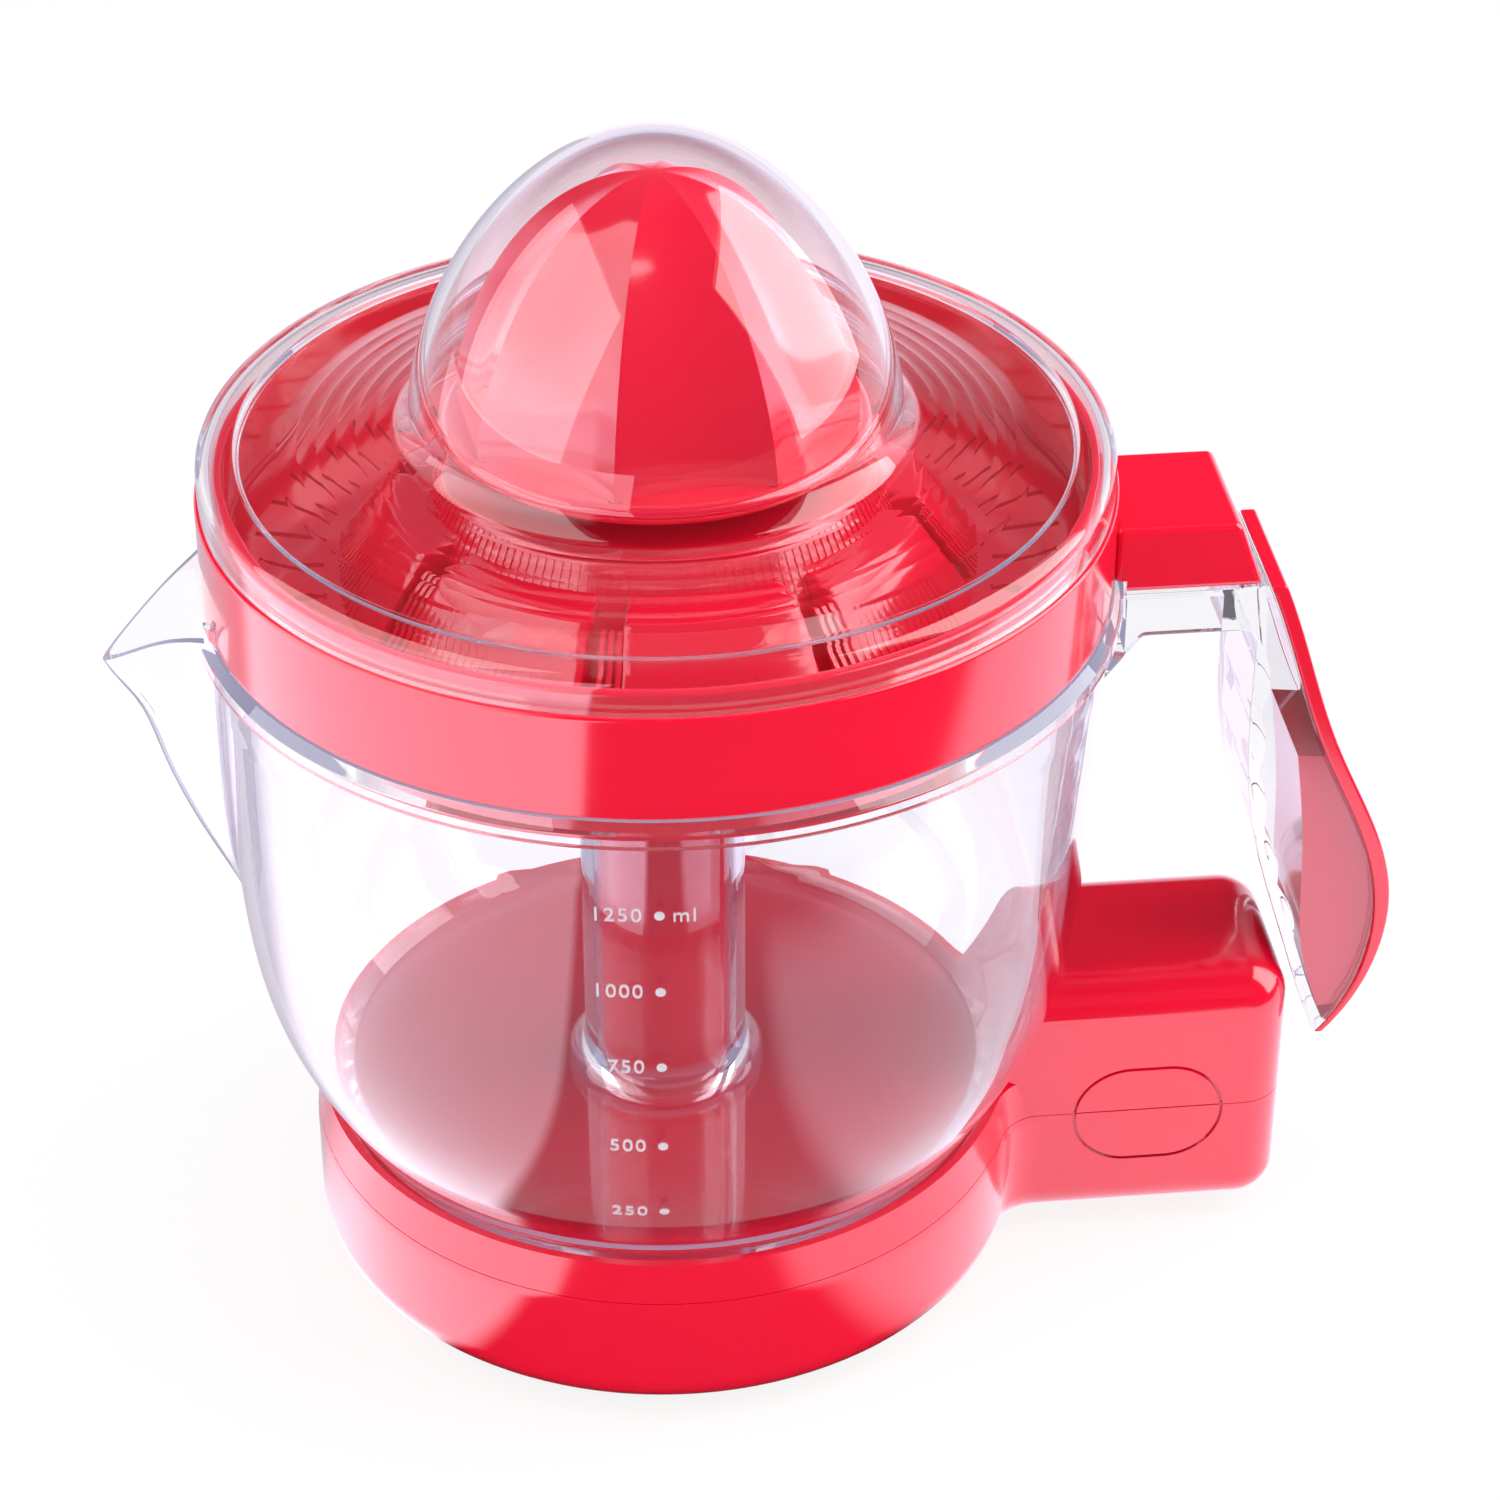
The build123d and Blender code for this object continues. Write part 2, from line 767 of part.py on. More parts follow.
def strainer():
    inner_r = band_r - band_wall
    band = ring(band_r, inner_r, band_bottom_z, band_top_z)
    neck_r = lid_r - cover_wall - skirt_fit
    band += ring(neck_r, neck_r - neck_wall, band_top_z - neck_height, band_top_z + neck_height)
    band += ring(inner_r + 1, neck_r - neck_wall, band_top_z - 2 * neck_height, band_top_z - neck_height)
    skirt_r = jug_inner_r - skirt_fit
    under = bowl_edge_z - bowl_thickness
    band += ring(skirt_r, skirt_r - skirt_wall, band_bottom_z - skirt_depth, under + 1)
    bowl = turned(
        line(
            (inner_r + 1, bowl_edge_z),
            (hub_foot_r, bowl_low_z),
            (hub_top_r, hub_top_z),
            (0, hub_top_z),
            (0, hub_top_z - bowl_thickness),
            (hub_top_r - bowl_thickness, hub_top_z - bowl_thickness),
            (hub_foot_r - bowl_thickness, bowl_low_z - bowl_thickness),
            (inner_r + 1, under),
            (inner_r + 1, bowl_edge_z),
        )
    )
    body = band + bowl + disc(collar_r, collar_bottom_z, hub_top_z)
    body -= disc(bush_r + bush_running_fit, 0, hub_top_z + 1)
    for petal in petals():
        body += petal
    body -= drain_slots()
    return body + key_block()


def petals():
    """Raised blocks round the foot of the hub."""
    blocks = []
    pitch = 360 / petal_count
    half = pitch / 2 - petal_gap_deg / 2
    top_z = bowl_low_z + petal_height
    share = petal_height / (hub_top_z - bowl_low_z)
    inner_r = hub_foot_r + (hub_top_r - hub_foot_r) * share - bowl_thickness / 2
    outer_r = hub_foot_r + petal_depth
    section = make_face(
        line(
            (hub_foot_r - bowl_thickness, bowl_low_z - bowl_thickness / 2),
            (inner_r, top_z),
            (inner_r + petal_top_depth, top_z - petal_slope),
            (outer_r, bowl_low_z - bowl_thickness / 2),
            (hub_foot_r - bowl_thickness, bowl_low_z - bowl_thickness / 2),
        )
    )
    petal = Rot(0, 0, -half) * revolve(section, Axis.Z, 2 * half)
    for index in range(petal_count):
        blocks.append(Rot(0, 0, index * pitch) * petal)
    return blocks


def drain_slots():
    """Radial slots in the bowl outside the petals."""
    slots = []
    start = hub_foot_r + petal_depth + slot_width
    half = slot_width / 2
    cutter = block(start, start + slot_length, -half, half, band_bottom_z - skirt_depth, hub_top_z)
    for index in range(slot_count):
        slots.append(Rot(0, 0, index * 360 / slot_count) * cutter)
    return Compound(children=slots)


def key_block():
    """Hollow block over the handle's arm that keeps the strainer from turning."""
    side = line(
        (band_r - 1, handle_top_z + seat_gap),
        (key_block_foot_x, handle_top_z + seat_gap),
        (key_block_end_x, key_block_top_z),
        (band_r - 1, key_block_top_z),
        (band_r - 1, handle_top_z + seat_gap),
    )
    body = extrude(make_face(side), handle_half_width, both=True)
    body -= block(
        band_r + 1,
        key_block_end_x - band_wall,
        -handle_half_width + band_wall,
        handle_half_width - band_wall,
        0,
        key_block_top_z - band_wall,
    )
    return body - disc(jug_rim_r + skirt_fit, 0, band_bottom_z)


def lid_profile(inset):
    """Outline of the dust cover from the foot of its skirt to the top of its dome."""
    rim_round = lid_rim_width / 2
    skirt_r = lid_r - inset
    skirt_z = band_top_z + seat_gap
    shoulder_z = lid_rim_top - rim_round
    ring_r = lid_r - lid_rim_width
    dish_r = dome_r + lid_step_count * lid_step_run
    points = [(skirt_r, skirt_z), (skirt_r, shoulder_z - inset / 2)]
    points += [(lid_r - rim_round / 2 - inset / 2, lid_rim_top - rim_round / 4 - inset)]
    points += [(lid_r - rim_round, lid_rim_top - inset), (ring_r, lid_rim_top - inset)]
    points += [(ring_r - lid_edge_slope, lid_dish_z - inset), (dish_r, lid_dish_z - inset)]
    for step in range(1, lid_step_count):
        step_r = dish_r - step * lid_step_run
        low = lid_dish_z + (step - 1) * lid_step_rise - inset
        points += [(step_r + lid_step_slope, low), (step_r, low + lid_step_rise)]
    foot_z = lid_dish_z + (lid_step_count - 1) * lid_step_rise - inset
    points += [(dome_r + dome_foot - inset / 2, foot_z), (dome_r - inset, foot_z + dome_foot)]
    dome = Spline(
        (dome_r - inset, 0, foot_z + dome_foot),
        (dome_waist_r - inset, 0, dome_waist_z - inset / 2),
        (0, 0, dome_top_z - inset),
        tangents=((-dome_foot_lean, 0, 1), (-1, 0, 0)),
    )
    return line(*points), dome, skirt_z


def dust_cover():
    side, dome, skirt_z = lid_profile(0)
    outside = turned(side, dome, line((0, dome_top_z), (0, skirt_z), (lid_r, skirt_z)))
    side, dome, _ = lid_profile(cover_wall)
    low_z = skirt_z - 1
    inner_r = lid_r - cover_wall
    inside = turned(
        side,
        dome,
        line((0, dome_top_z - cover_wall), (0, low_z), (inner_r, low_z), (inner_r, skirt_z)),
    )
    return outside - inside


def bullet_radius(share):
    """Radius of the cone's ridges at a share of the height above its rim."""
    return reamer_foot_r * math.sqrt(1 - share ** reamer_bluntness)


def fluted_section(share):
    """Eight-pointed section of the cone with hollow sides."""
    pitch = 360 / ridge_count
    radius = bullet_radius(share)
    arcs = []
    for index in range(ridge_count):
        angle = ridge_phase_deg + index * pitch
        start = on_circle(radius, angle)
        middle = on_circle(radius * flute_ratio, angle + pitch / 2)
        end = on_circle(radius, angle + pitch)
        arcs.append(ThreePointArc(start, middle, end))
    height = reamer_top_z - reamer_foot_z
    return Pos(0, 0, reamer_foot_z + share * height) * make_face(Curve() + arcs)


def reamer_cone():
    body = loft([fluted_section(share) for share in cone_sections])
    rim_round = reamer_rim_height / 2
    body += turned(
        line((0, reamer_rim_z), (reamer_rim_r - rim_round, reamer_rim_z)),
        ThreePointArc(
            (reamer_rim_r - rim_round, 0, reamer_rim_z),
            (reamer_rim_r, 0, reamer_rim_z + rim_round),
            (reamer_rim_r - rim_round, 0, reamer_foot_z),
        ),
        line((reamer_rim_r - rim_round, reamer_foot_z), (0, reamer_foot_z), (0, reamer_rim_z)),
    )
    hollow_r = reamer_foot_r * flute_ratio - reamer_wall
    hollow_top = reamer_foot_z + (reamer_top_z - reamer_foot_z) * hollow_share
    top_r = bullet_radius(hollow_share) * flute_ratio - reamer_wall
    body -= turned(
        line((0, reamer_rim_z - 1), (hollow_r, reamer_rim_z - 1), (hollow_r, reamer_foot_z)),
        line((hollow_r, reamer_foot_z), (top_r, hollow_top), (0, hollow_top), (0, reamer_rim_z - 1)),
    )
    stem = extrude(RegularPolygon(stem_flats / 2, 6, major_radius=False), hollow_top + reamer_wall - stem_bottom_z)
    body += Pos(0, 0, stem_bottom_z) * stem
    socket = extrude(Rectangle(socket_side, socket_side), spindle_top_z + socket_headroom - stem_bottom_z)
    return body - Pos(0, 0, stem_bottom_z) * socket


def drive_bush():
    flange_z = hub_top_z + bush_lift
    sleeve = disc(bush_r, bush_bottom_z, flange_z)
    sleeve += disc(bush_flange_r, flange_z, flange_z + bush_flange_height)
    bore = extrude(RegularPolygon(bush_bore_flats / 2, 6, major_radius=False), hub_top_z)
    return sleeve - Pos(0, 0, bush_bottom_z - 1) * bore


def bush_clip():
    top = collar_bottom_z - bush_lift
    return ring(bush_r + clip_width, bush_r, top - clip_height, top)


def drive_shaft():
    shaft = disc(spindle_r, spindle_bottom_z, square_bottom_z)
    square = extrude(Rectangle(spindle_square, spindle_square), spindle_top_z - square_bottom_z)
    return shaft + Pos(0, 0, square_bottom_z) * square


def output_gear():
    top = output_gear_z + output_gear_height
    half_pitch = 180 / output_teeth
    body = gear(coarse_module, output_teeth, output_gear_z, top, 0, spindle_r, half_pitch)
    return body + ring(output_hub_r, spindle_r, output_gear_z, top + output_gear_height / 2)


def upper_bush():
    low = tower_top_z - tower_top_plate
    body = disc(spindle_r + tower_wall, low, tower_top_z)
    body += disc(spindle_r + 2 * tower_wall, tower_top_z, tower_top_z + tube_cap / 2)
    return body - disc(spindle_r + spindle_fit, 0, tower_top_z + tube_cap)


def thrust_plunger():
    body = disc(plunger_r, plunger_bottom_z, plunger_top_z)
    arm_y = arm_half_width
    body += block(-arm_reach, -plunger_r / 2, -arm_y, arm_y, arm_bottom_z, arm_bottom_z + arm_height)
    body -= disc(spindle_r + spindle_fit, spindle_bottom_z, plunger_top_z + 1)
    return body - disc(plunger_pocket_r, 0, plunger_bottom_z + plunger_pocket_depth)


def return_spring():
    low = floor_z + spring_wire_r
    high = plunger_bottom_z + plunger_pocket_depth - spring_wire_r
    rise = high - low
    path = Helix(rise / spring_turns, rise, spring_r)
    start = Plane(path @ 0, z_dir=path % 0)
    return Pos(0, 0, low) * sweep(start * Circle(spring_wire_r), path)


def microswitch():
    half = switch_length / 2
    body = block(
        switch_x - half,
        switch_x + half,
        -switch_half_width,
        switch_half_width,
        floor_z,
        floor_z + switch_height,
    )
    pocket_z = arm_bottom_z - button_gap - button_height - press_travel - button_gap
    return body - disc(button_r + button_fit, pocket_z, arm_bottom_z, switch_x)


def switch_button():
    top = arm_bottom_z - button_gap
    return disc(button_r, top - button_height, top, switch_x)


def first_idler_gear():
    bore = axle_r + axle_fit
    wheel_top = wheel_z + wheel_height
    half_pitch = 180 / first_wheel_teeth
    wheel = gear(fine_module, first_wheel_teeth, wheel_z, wheel_top, first_x, bore, half_pitch)
    return wheel + gear(coarse_module, first_pinion_teeth, wheel_top, first_pinion_top_z, first_x, bore)


def first_idler_axle():
    return disc(axle_r, floor_z, first_pinion_top_z + axle_boss_gap, first_x)


def second_idler_gear():
    return gear(fine_module, second_teeth, wheel_z, wheel_z + wheel_height, second_x, axle_r + axle_fit)


def second_idler_axle():
    return disc(axle_r, floor_z, bracket_z, second_x)


def rotor_shaft():
    return disc(rotor_shaft_r, motor_pinion_z, cap_z + plate_thickness, motor_x)


def motor_pinion():
    top = motor_pinion_z + motor_pinion_height
    half_pitch = 180 / motor_teeth
    return gear(fine_module, motor_teeth, motor_pinion_z, top, motor_x, rotor_shaft_r, half_pitch)


def rotor():
    return ring(rotor_r, rotor_shaft_r, rotor_bottom_z, rotor_bottom_z + rotor_height, motor_x)


def stator_core():
    core = ring(stator_r, rotor_r + air_gap, stator_bottom_z, stator_top_z, motor_x)
    for angle in motor_screw_angles:
        x, y = on_circle(screw_circle_r, angle, motor_x)
        core -= disc(motor_screw_r, 0, box_top_z, x, y)
    return core


def stator_coils():
    inner = rotor_r + air_gap + coil_inset
    outer = inner + coil_width
    lower = ring(outer, inner, stator_bottom_z - coil_height, stator_bottom_z, motor_x)
    upper = ring(outer, inner, stator_top_z, stator_top_z + coil_height, motor_x)
    return Compound(children=[lower, upper])


def bearing_plate(low, spacer_low, spacer_high):
    """Plate across the motor with a bearing hole and a spacer at each screw."""
    end_x = box_end_x - shell_wall - plate_end_gap
    half = box_half_width - shell_wall - plate_side_gap
    plate = block(2 * motor_x - end_x, end_x, -half, half, low, low + plate_thickness)
    upright = plate.edges().filter_by(Axis.Z)
    plate = fillet(upright, motor_post_r)
    for angle in motor_screw_angles:
        x, y = on_circle(screw_circle_r, angle, motor_x)
        plate += disc(motor_spacer_r, spacer_low, spacer_high, x, y)
        plate -= disc(motor_screw_r, 0, box_top_z, x, y)
    return plate - disc(rotor_shaft_r + axle_fit, 0, box_top_z, motor_x)


def motor_bracket():
    return bearing_plate(bracket_z, bracket_z, stator_bottom_z)


def motor_cap():
    return bearing_plate(cap_z, stator_top_z, cap_z + plate_thickness)


def bracket_screws():
    group = []
    top = cap_z + plate_thickness
    for angle in motor_screw_angles:
        x, y = on_circle(screw_circle_r, angle, motor_x)
        head = disc(motor_head_r, top, top + motor_head_height, x, y)
        group.append(head + disc(motor_screw_r, floor_z + plate_thickness, top, x, y))
    return Compound(children=group)


pieces = (
    base_lower_shell,
    base_upper_shell,
    housing_screws,
    rubber_feet,
    cord_gland,
    upper_bush,
    microswitch,
    switch_button,
    return_spring,
    thrust_plunger,
    drive_shaft,
    output_gear,
    first_idler_gear,
    first_idler_axle,
    second_idler_gear,
    second_idler_axle,
    motor_pinion,
    rotor,
    rotor_shaft,
    stator_core,
    stator_coils,
    motor_bracket,
    motor_cap,
    bracket_screws,
    jug,
    handle_cover,
    strainer,
    drive_bush,
    bush_clip,
    reamer_cone,
    dust_cover,
)

os.makedirs("parts", exist_ok=True)
for piece in pieces:
    export_step(piece(), f"parts/{piece.__name__}.step")
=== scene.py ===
import json
import math

import bpy
import numpy as np
from mathutils import Matrix, Vector


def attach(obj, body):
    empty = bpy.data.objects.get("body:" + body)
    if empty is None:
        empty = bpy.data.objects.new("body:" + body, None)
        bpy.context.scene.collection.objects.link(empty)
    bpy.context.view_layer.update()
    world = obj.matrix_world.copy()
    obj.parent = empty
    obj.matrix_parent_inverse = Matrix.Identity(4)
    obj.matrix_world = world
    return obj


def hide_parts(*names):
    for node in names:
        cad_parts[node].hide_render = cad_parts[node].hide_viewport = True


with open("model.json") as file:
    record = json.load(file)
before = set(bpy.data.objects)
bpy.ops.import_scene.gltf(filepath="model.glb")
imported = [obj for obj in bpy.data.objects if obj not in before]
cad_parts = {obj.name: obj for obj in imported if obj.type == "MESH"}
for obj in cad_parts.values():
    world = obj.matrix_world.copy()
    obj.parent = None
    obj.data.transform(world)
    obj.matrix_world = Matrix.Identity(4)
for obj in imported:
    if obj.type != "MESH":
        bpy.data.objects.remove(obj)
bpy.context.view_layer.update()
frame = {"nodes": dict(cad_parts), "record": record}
mm = 0.001
mergeDistance = 0.002
flatAngle = 0.3
print("frame loaded:", len(frame["nodes"]), "nodes")


# selection and mesh helpers

def deselectAll():
    if bpy.context.object and bpy.context.object.mode != "OBJECT":
        bpy.ops.object.mode_set(mode="OBJECT")
    bpy.ops.object.select_all(action="DESELECT")


def makeActive(piece):
    deselectAll()
    piece.select_set(True)
    bpy.context.view_layer.objects.active = piece


def editAll(piece):
    makeActive(piece)
    bpy.ops.object.mode_set(mode="EDIT")
    bpy.ops.mesh.select_all(action="SELECT")


def newPiece(name, points, edges, faces):
    mesh = bpy.data.meshes.new(name)
    mesh.from_pydata([[axis * mm for axis in point] for point in points], edges, faces)
    piece = bpy.data.objects.new(name, mesh)
    bpy.context.scene.collection.objects.link(piece)
    makeActive(piece)
    return piece


def cleanMesh(piece):
    editAll(piece)
    bpy.ops.mesh.remove_doubles(threshold=mergeDistance * mm)
    bpy.ops.mesh.normals_make_consistent(inside=False)
    bpy.ops.object.mode_set(mode="OBJECT")


def smooth(piece, angle=32):
    makeActive(piece)
    bpy.ops.object.shade_smooth_by_angle(angle=math.radians(angle))


def applyModifier(piece, kind, **settings):
    makeActive(piece)
    modifier = piece.modifiers.new(kind.title(), kind)
    for key, value in settings.items():
        setattr(modifier, key, value)
    bpy.ops.object.modifier_apply(modifier=modifier.name)


def softenEdges(piece, width, segments=3, angle=35):
    applyModifier(piece, "BEVEL", width=width * mm, segments=segments, limit_method="ANGLE",
                  angle_limit=math.radians(angle))


def evenShading(piece, angle=32):
    smooth(piece, angle)
    applyModifier(piece, "WEIGHTED_NORMAL", keep_sharp=True, weight=80)


def combine(piece, other, operation):
    applyModifier(piece, "BOOLEAN", object=other, operation=operation, solver="MANIFOLD")
    bpy.data.objects.remove(other)


def join(piece, others):
    makeActive(piece)
    for other in others:
        other.select_set(True)
    bpy.ops.object.join()


def evenAngles(count):
    return [360 / count * index for index in range(count)]


def ringOf(piece, angles):
    # one copy of the piece turned to each angle, joined into one mesh
    copies = []
    for angle in angles:
        copy = bpy.data.objects.new(piece.name, piece.data.copy())
        copy.data.transform(Matrix.Rotation(math.radians(angle), 4, "Z"))
        bpy.context.scene.collection.objects.link(copy)
        copies.append(copy)
    bpy.data.objects.remove(piece)
    join(copies[0], copies[1:])
    return copies[0]


def copyNode(node, name):
    source = frame["nodes"][node]
    piece = bpy.data.objects.new(name, source.data.copy())
    piece.data.materials.clear()
    bpy.context.scene.collection.objects.link(piece)
    editAll(piece)
    bpy.ops.mesh.remove_doubles(threshold=mergeDistance * mm)
    bpy.ops.mesh.dissolve_limited(angle_limit=math.radians(flatAngle), delimit=set())
    bpy.ops.object.mode_set(mode="OBJECT")
    return piece


def place(piece, body, finish, replaced=()):
    piece.data.materials.clear()
    piece.data.materials.append(finish)
    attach(piece, body)
    if replaced:
        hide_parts(*replaced)
    print("placed", piece.name, "on", body, len(piece.data.polygons), "faces")


# outlines in millimetres

def rounded(points, steps=5):
    # each point is (across, up) or (across, up, rounding)
    outline = []
    for index, point in enumerate(points):
        here = Vector(point[:2])
        rounding = point[2] if len(point) > 2 else 0
        if not rounding:
            outline.append(tuple(here))
            continue
        back = Vector(points[index - 1][:2]) - here
        ahead = Vector(points[(index + 1) % len(points)][:2]) - here
        half = back.angle(ahead) / 2
        reach = min(rounding / math.tan(half), back.length / 2, ahead.length / 2)
        start = here + back.normalized() * reach
        end = here + ahead.normalized() * reach
        for step in range(steps + 1):
            share = step / steps
            spot = start * (1 - share) ** 2 + here * 2 * share * (1 - share) + end * share ** 2
            outline.append(tuple(spot))
    return outline


def throughPoints(points, count, startSlope=None, endSlope=None):
    # smooth cubic curve through the points, with a set direction at an end where one is given
    spots = np.array(points, float)
    steps = np.linalg.norm(np.diff(spots, axis=0), axis=1)
    along = np.concatenate(([0], np.cumsum(steps)))
    last = len(spots) - 1
    system = np.zeros((last + 1, last + 1))
    wanted = np.zeros_like(spots)
    for row in range(1, last):
        before, after = steps[row - 1], steps[row]
        system[row, row - 1:row + 2] = before, 2 * (before + after), after
        wanted[row] = 6 * ((spots[row + 1] - spots[row]) / after - (spots[row] - spots[row - 1]) / before)
    ends = (
        (0, 1, steps[0], startSlope, -1),
        (last, last - 1, steps[-1], endSlope, 1),
    )
    for row, near, step, slope, sign in ends:
        system[row, row] = 2
        if slope is not None:
            system[row, near] = 1
            direction = np.array(slope, float) / np.linalg.norm(slope)
            wanted[row] = 6 / step * ((spots[near] - spots[row]) / step + sign * direction)
    bends = np.linalg.solve(system, wanted)
    curve = []
    for spot in np.linspace(0, along[-1], count):
        leg = min(max(np.searchsorted(along, spot) - 1, 0), last - 1)
        step = steps[leg]
        low, high = (along[leg + 1] - spot) / step, (spot - along[leg]) / step
        bend = (low ** 3 - low) * bends[leg] + (high ** 3 - high) * bends[leg + 1]
        curve.append(tuple(low * spots[leg] + high * spots[leg + 1] + bend * step ** 2 / 6))
    return curve


def boxOutline(across, up):
    left, right = across
    low, high = up
    return [(left, low), (right, low), (right, high), (left, high)]


def heightToRadius(curve):
    heights = [z for radius, z in curve]
    radii = [radius for radius, z in curve]
    return lambda z: float(np.interp(z, heights, radii))


def lathe(name, outline, steps=176, sweep=360.0):
    # spins a closed outline round the upright axis
    count = len(outline)
    points = [(radius, 0, height) for radius, height in outline]
    faces = [] if sweep == 360 else [list(range(count))]
    piece = newPiece(name, points, [(index, (index + 1) % count) for index in range(count)], faces)
    editAll(piece)
    bpy.ops.mesh.spin(steps=steps, angle=math.radians(sweep), center=(0, 0, 0), axis=(0, 0, 1))
    bpy.ops.object.mode_set(mode="OBJECT")
    if faces:
        closing = [len(piece.data.vertices) - count + index for index in range(count)]
        cap = newPiece(name + "Cap", [Vector(piece.data.vertices[index].co) / mm for index in closing], [],
                       [list(range(count))])
        join(piece, [cap])
    cleanMesh(piece)
    return piece


def plate(name, outline, halfWidth):
    # side view in the plane of spout and handle, drawn out to both sides
    points = [(x, -halfWidth, z) for x, z in outline]
    piece = newPiece(name, points, [], [list(range(len(points)))])
    editAll(piece)
    bpy.ops.mesh.extrude_region_move(TRANSFORM_OT_translate={"value": (0, 2 * halfWidth * mm, 0)})
    bpy.ops.object.mode_set(mode="OBJECT")
    cleanMesh(piece)
    return piece


def stackedLoops(name, loops):
    # closed skin over loops of equal point count, with flat ends
    count = len(loops[0])
    points = [point for loop in loops for point in loop]
    faces = [list(range(count)), [(len(loops) - 1) * count + index for index in range(count)]]
    for row in range(len(loops) - 1):
        for index in range(count):
            after = (index + 1) % count
            low, high = row * count, (row + 1) * count
            faces.append((low + index, low + after, high + after, high + index))
    piece = newPiece(name, points, [], faces)
    cleanMesh(piece)
    return piece


# finishes

class Value:
    def __init__(self, finish, socket):
        self.finish = finish
        self.socket = socket

    def sum(self, operation, first, second):
        return self.finish.node("ShaderNodeMath", {"operation": operation}, {0: first, 1: second})

    def __add__(self, other):
        return self.sum("ADD", self, other)

    def __radd__(self, other):
        return self.sum("ADD", other, self)

    def __sub__(self, other):
        return self.sum("SUBTRACT", self, other)

    def __rsub__(self, other):
        return self.sum("SUBTRACT", other, self)

    def __mul__(self, other):
        return self.sum("MULTIPLY", self, other)

    def __rmul__(self, other):
        return self.sum("MULTIPLY", other, self)

    def orMore(self, other):
        return self.sum("MAXIMUM", self, other)

    def upTo(self, other):
        return self.sum("MINIMUM", self, other)


class Finish:
    def __init__(self, owner):
        owner.use_nodes = True
        self.tree = owner.node_tree
        self.tree.nodes.clear()

    def node(self, kind, settings=None, sockets=None, output=0):
        made = self.tree.nodes.new(kind)
        for key, value in (settings or {}).items():
            setattr(made, key, value)
        for key, value in (sockets or {}).items():
            if isinstance(value, Value):
                self.tree.links.new(value.socket, made.inputs[key])
            else:
                made.inputs[key].default_value = value
        return Value(self, made.outputs[output]) if made.outputs else None

    def mix(self, factor, first, second):
        return self.node("ShaderNodeMix", {"data_type": "RGBA"}, {0: factor, 6: first, 7: second}, 2)

    def noise(self, scale, detail):
        where = self.node("ShaderNodeTexCoord", output="Object")
        return self.node("ShaderNodeTexNoise", None, {"Vector": where, "Scale": scale, "Detail": detail})

    def bump(self, height, strength, distance):
        sockets = {"Height": height, "Strength": strength, "Distance": distance * mm}
        return self.node("ShaderNodeBump", None, sockets)

    def rise(self, value, low, high):
        # 0 below low, 1 above high, smooth between
        sockets = {"Value": value, "From Min": low, "From Max": high}
        return self.node("ShaderNodeMapRange", {"interpolation_type": "SMOOTHSTEP"}, sockets)

    def ray(self, kind):
        return self.node("ShaderNodeLightPath", output=kind)

    def lookingRays(self, walls):
        # rays that see the studio straight or through clear plastic, and rays that see it mirrored
        through = self.ray("Is Transmission Ray")
        deep = self.rise(self.ray("Transmission Depth"), walls + 0.4, walls + 0.6)
        once = self.ray("Glossy Depth").upTo(1) - self.rise(self.ray("Glossy Depth"), 1.4, 1.6)
        bounced = through * deep * once
        direct = through * (1 - self.ray("Diffuse Depth").upTo(1)) - bounced
        mirrored = self.ray("Is Glossy Ray") * (1 - through)
        return self.ray("Is Camera Ray").orMore(direct), mirrored.orMore(bounced)

    def darkest(self):
        # the unlit studio, a little brighter in clear plastic
        return studio["dim"] + self.ray("Is Transmission Ray") * (studio["dimInGlass"] - studio["dim"])

    def mixShaders(self, factor, first, second):
        return self.node("ShaderNodeMixShader", None, {0: factor, 1: first, 2: second})

    def surface(self, shader, kind="ShaderNodeOutputMaterial"):
        self.node(kind, None, {"Surface": shader})


def newFinish(name):
    material = bpy.data.materials.new(name)
    return material, Finish(material)


redLook = {
    "colour": (0.86, 0.003, 0.032, 1),
    "deeper": (0.79, 0.002, 0.029, 1),
    "roughness": 0.12,
    "ior": 1.62,
    "coatIor": 1.62,
    "coatRoughness": 0.08,
    "cloud": 26,
    "cloudRoughness": 0.05,
    "grain": 1500,
    "grainRoughness": 0.02,
    "bump": (0.05, 0.05),
}


def redPlastic():
    material, finish = newFinish("redPlastic")
    cloud = finish.noise(redLook["cloud"], 3)
    grain = finish.noise(redLook["grain"], 1)
    roughness = redLook["roughness"] + cloud * redLook["cloudRoughness"] + grain * redLook["grainRoughness"]
    shader = finish.node("ShaderNodeBsdfPrincipled", None, {
        "Base Color": finish.mix(cloud, redLook["colour"], redLook["deeper"]),
        "Roughness": roughness,
        "IOR": redLook["ior"],
        "Coat Weight": 1.0,
        "Coat IOR": redLook["coatIor"],
        "Coat Roughness": redLook["coatRoughness"],
        "Normal": finish.bump(grain, *redLook["bump"]),
    })
    finish.surface(shader)
    return material


clearLook = {
    "colour": (0.965, 0.958, 0.99, 1),
    "tint": (0.945, 0.935, 0.98, 1),
    # painted edge shade: the glass colour turns grey-lilac towards its silhouettes, where the view grazes the
    # wall
    "edge": (0.5, 0.48, 0.68, 1),
    "paintedEdgeShadeFacing": (0.5, 1.0),
    "cloud": 14,
    "cloudRoughness": 0.008,
    "roughness": 0.008,
    "ior": 1.3,
    "coatIor": 1.65,
    "shadow": (0.95, 0.94, 0.97, 1),
    # painted glow: lilac colour the clear walls emit where rays stay trapped deep inside them
    "paintedGlow": (0.36, 0.35, 0.5, 1),
    "paintedGlowDepth": (8, 11),
}


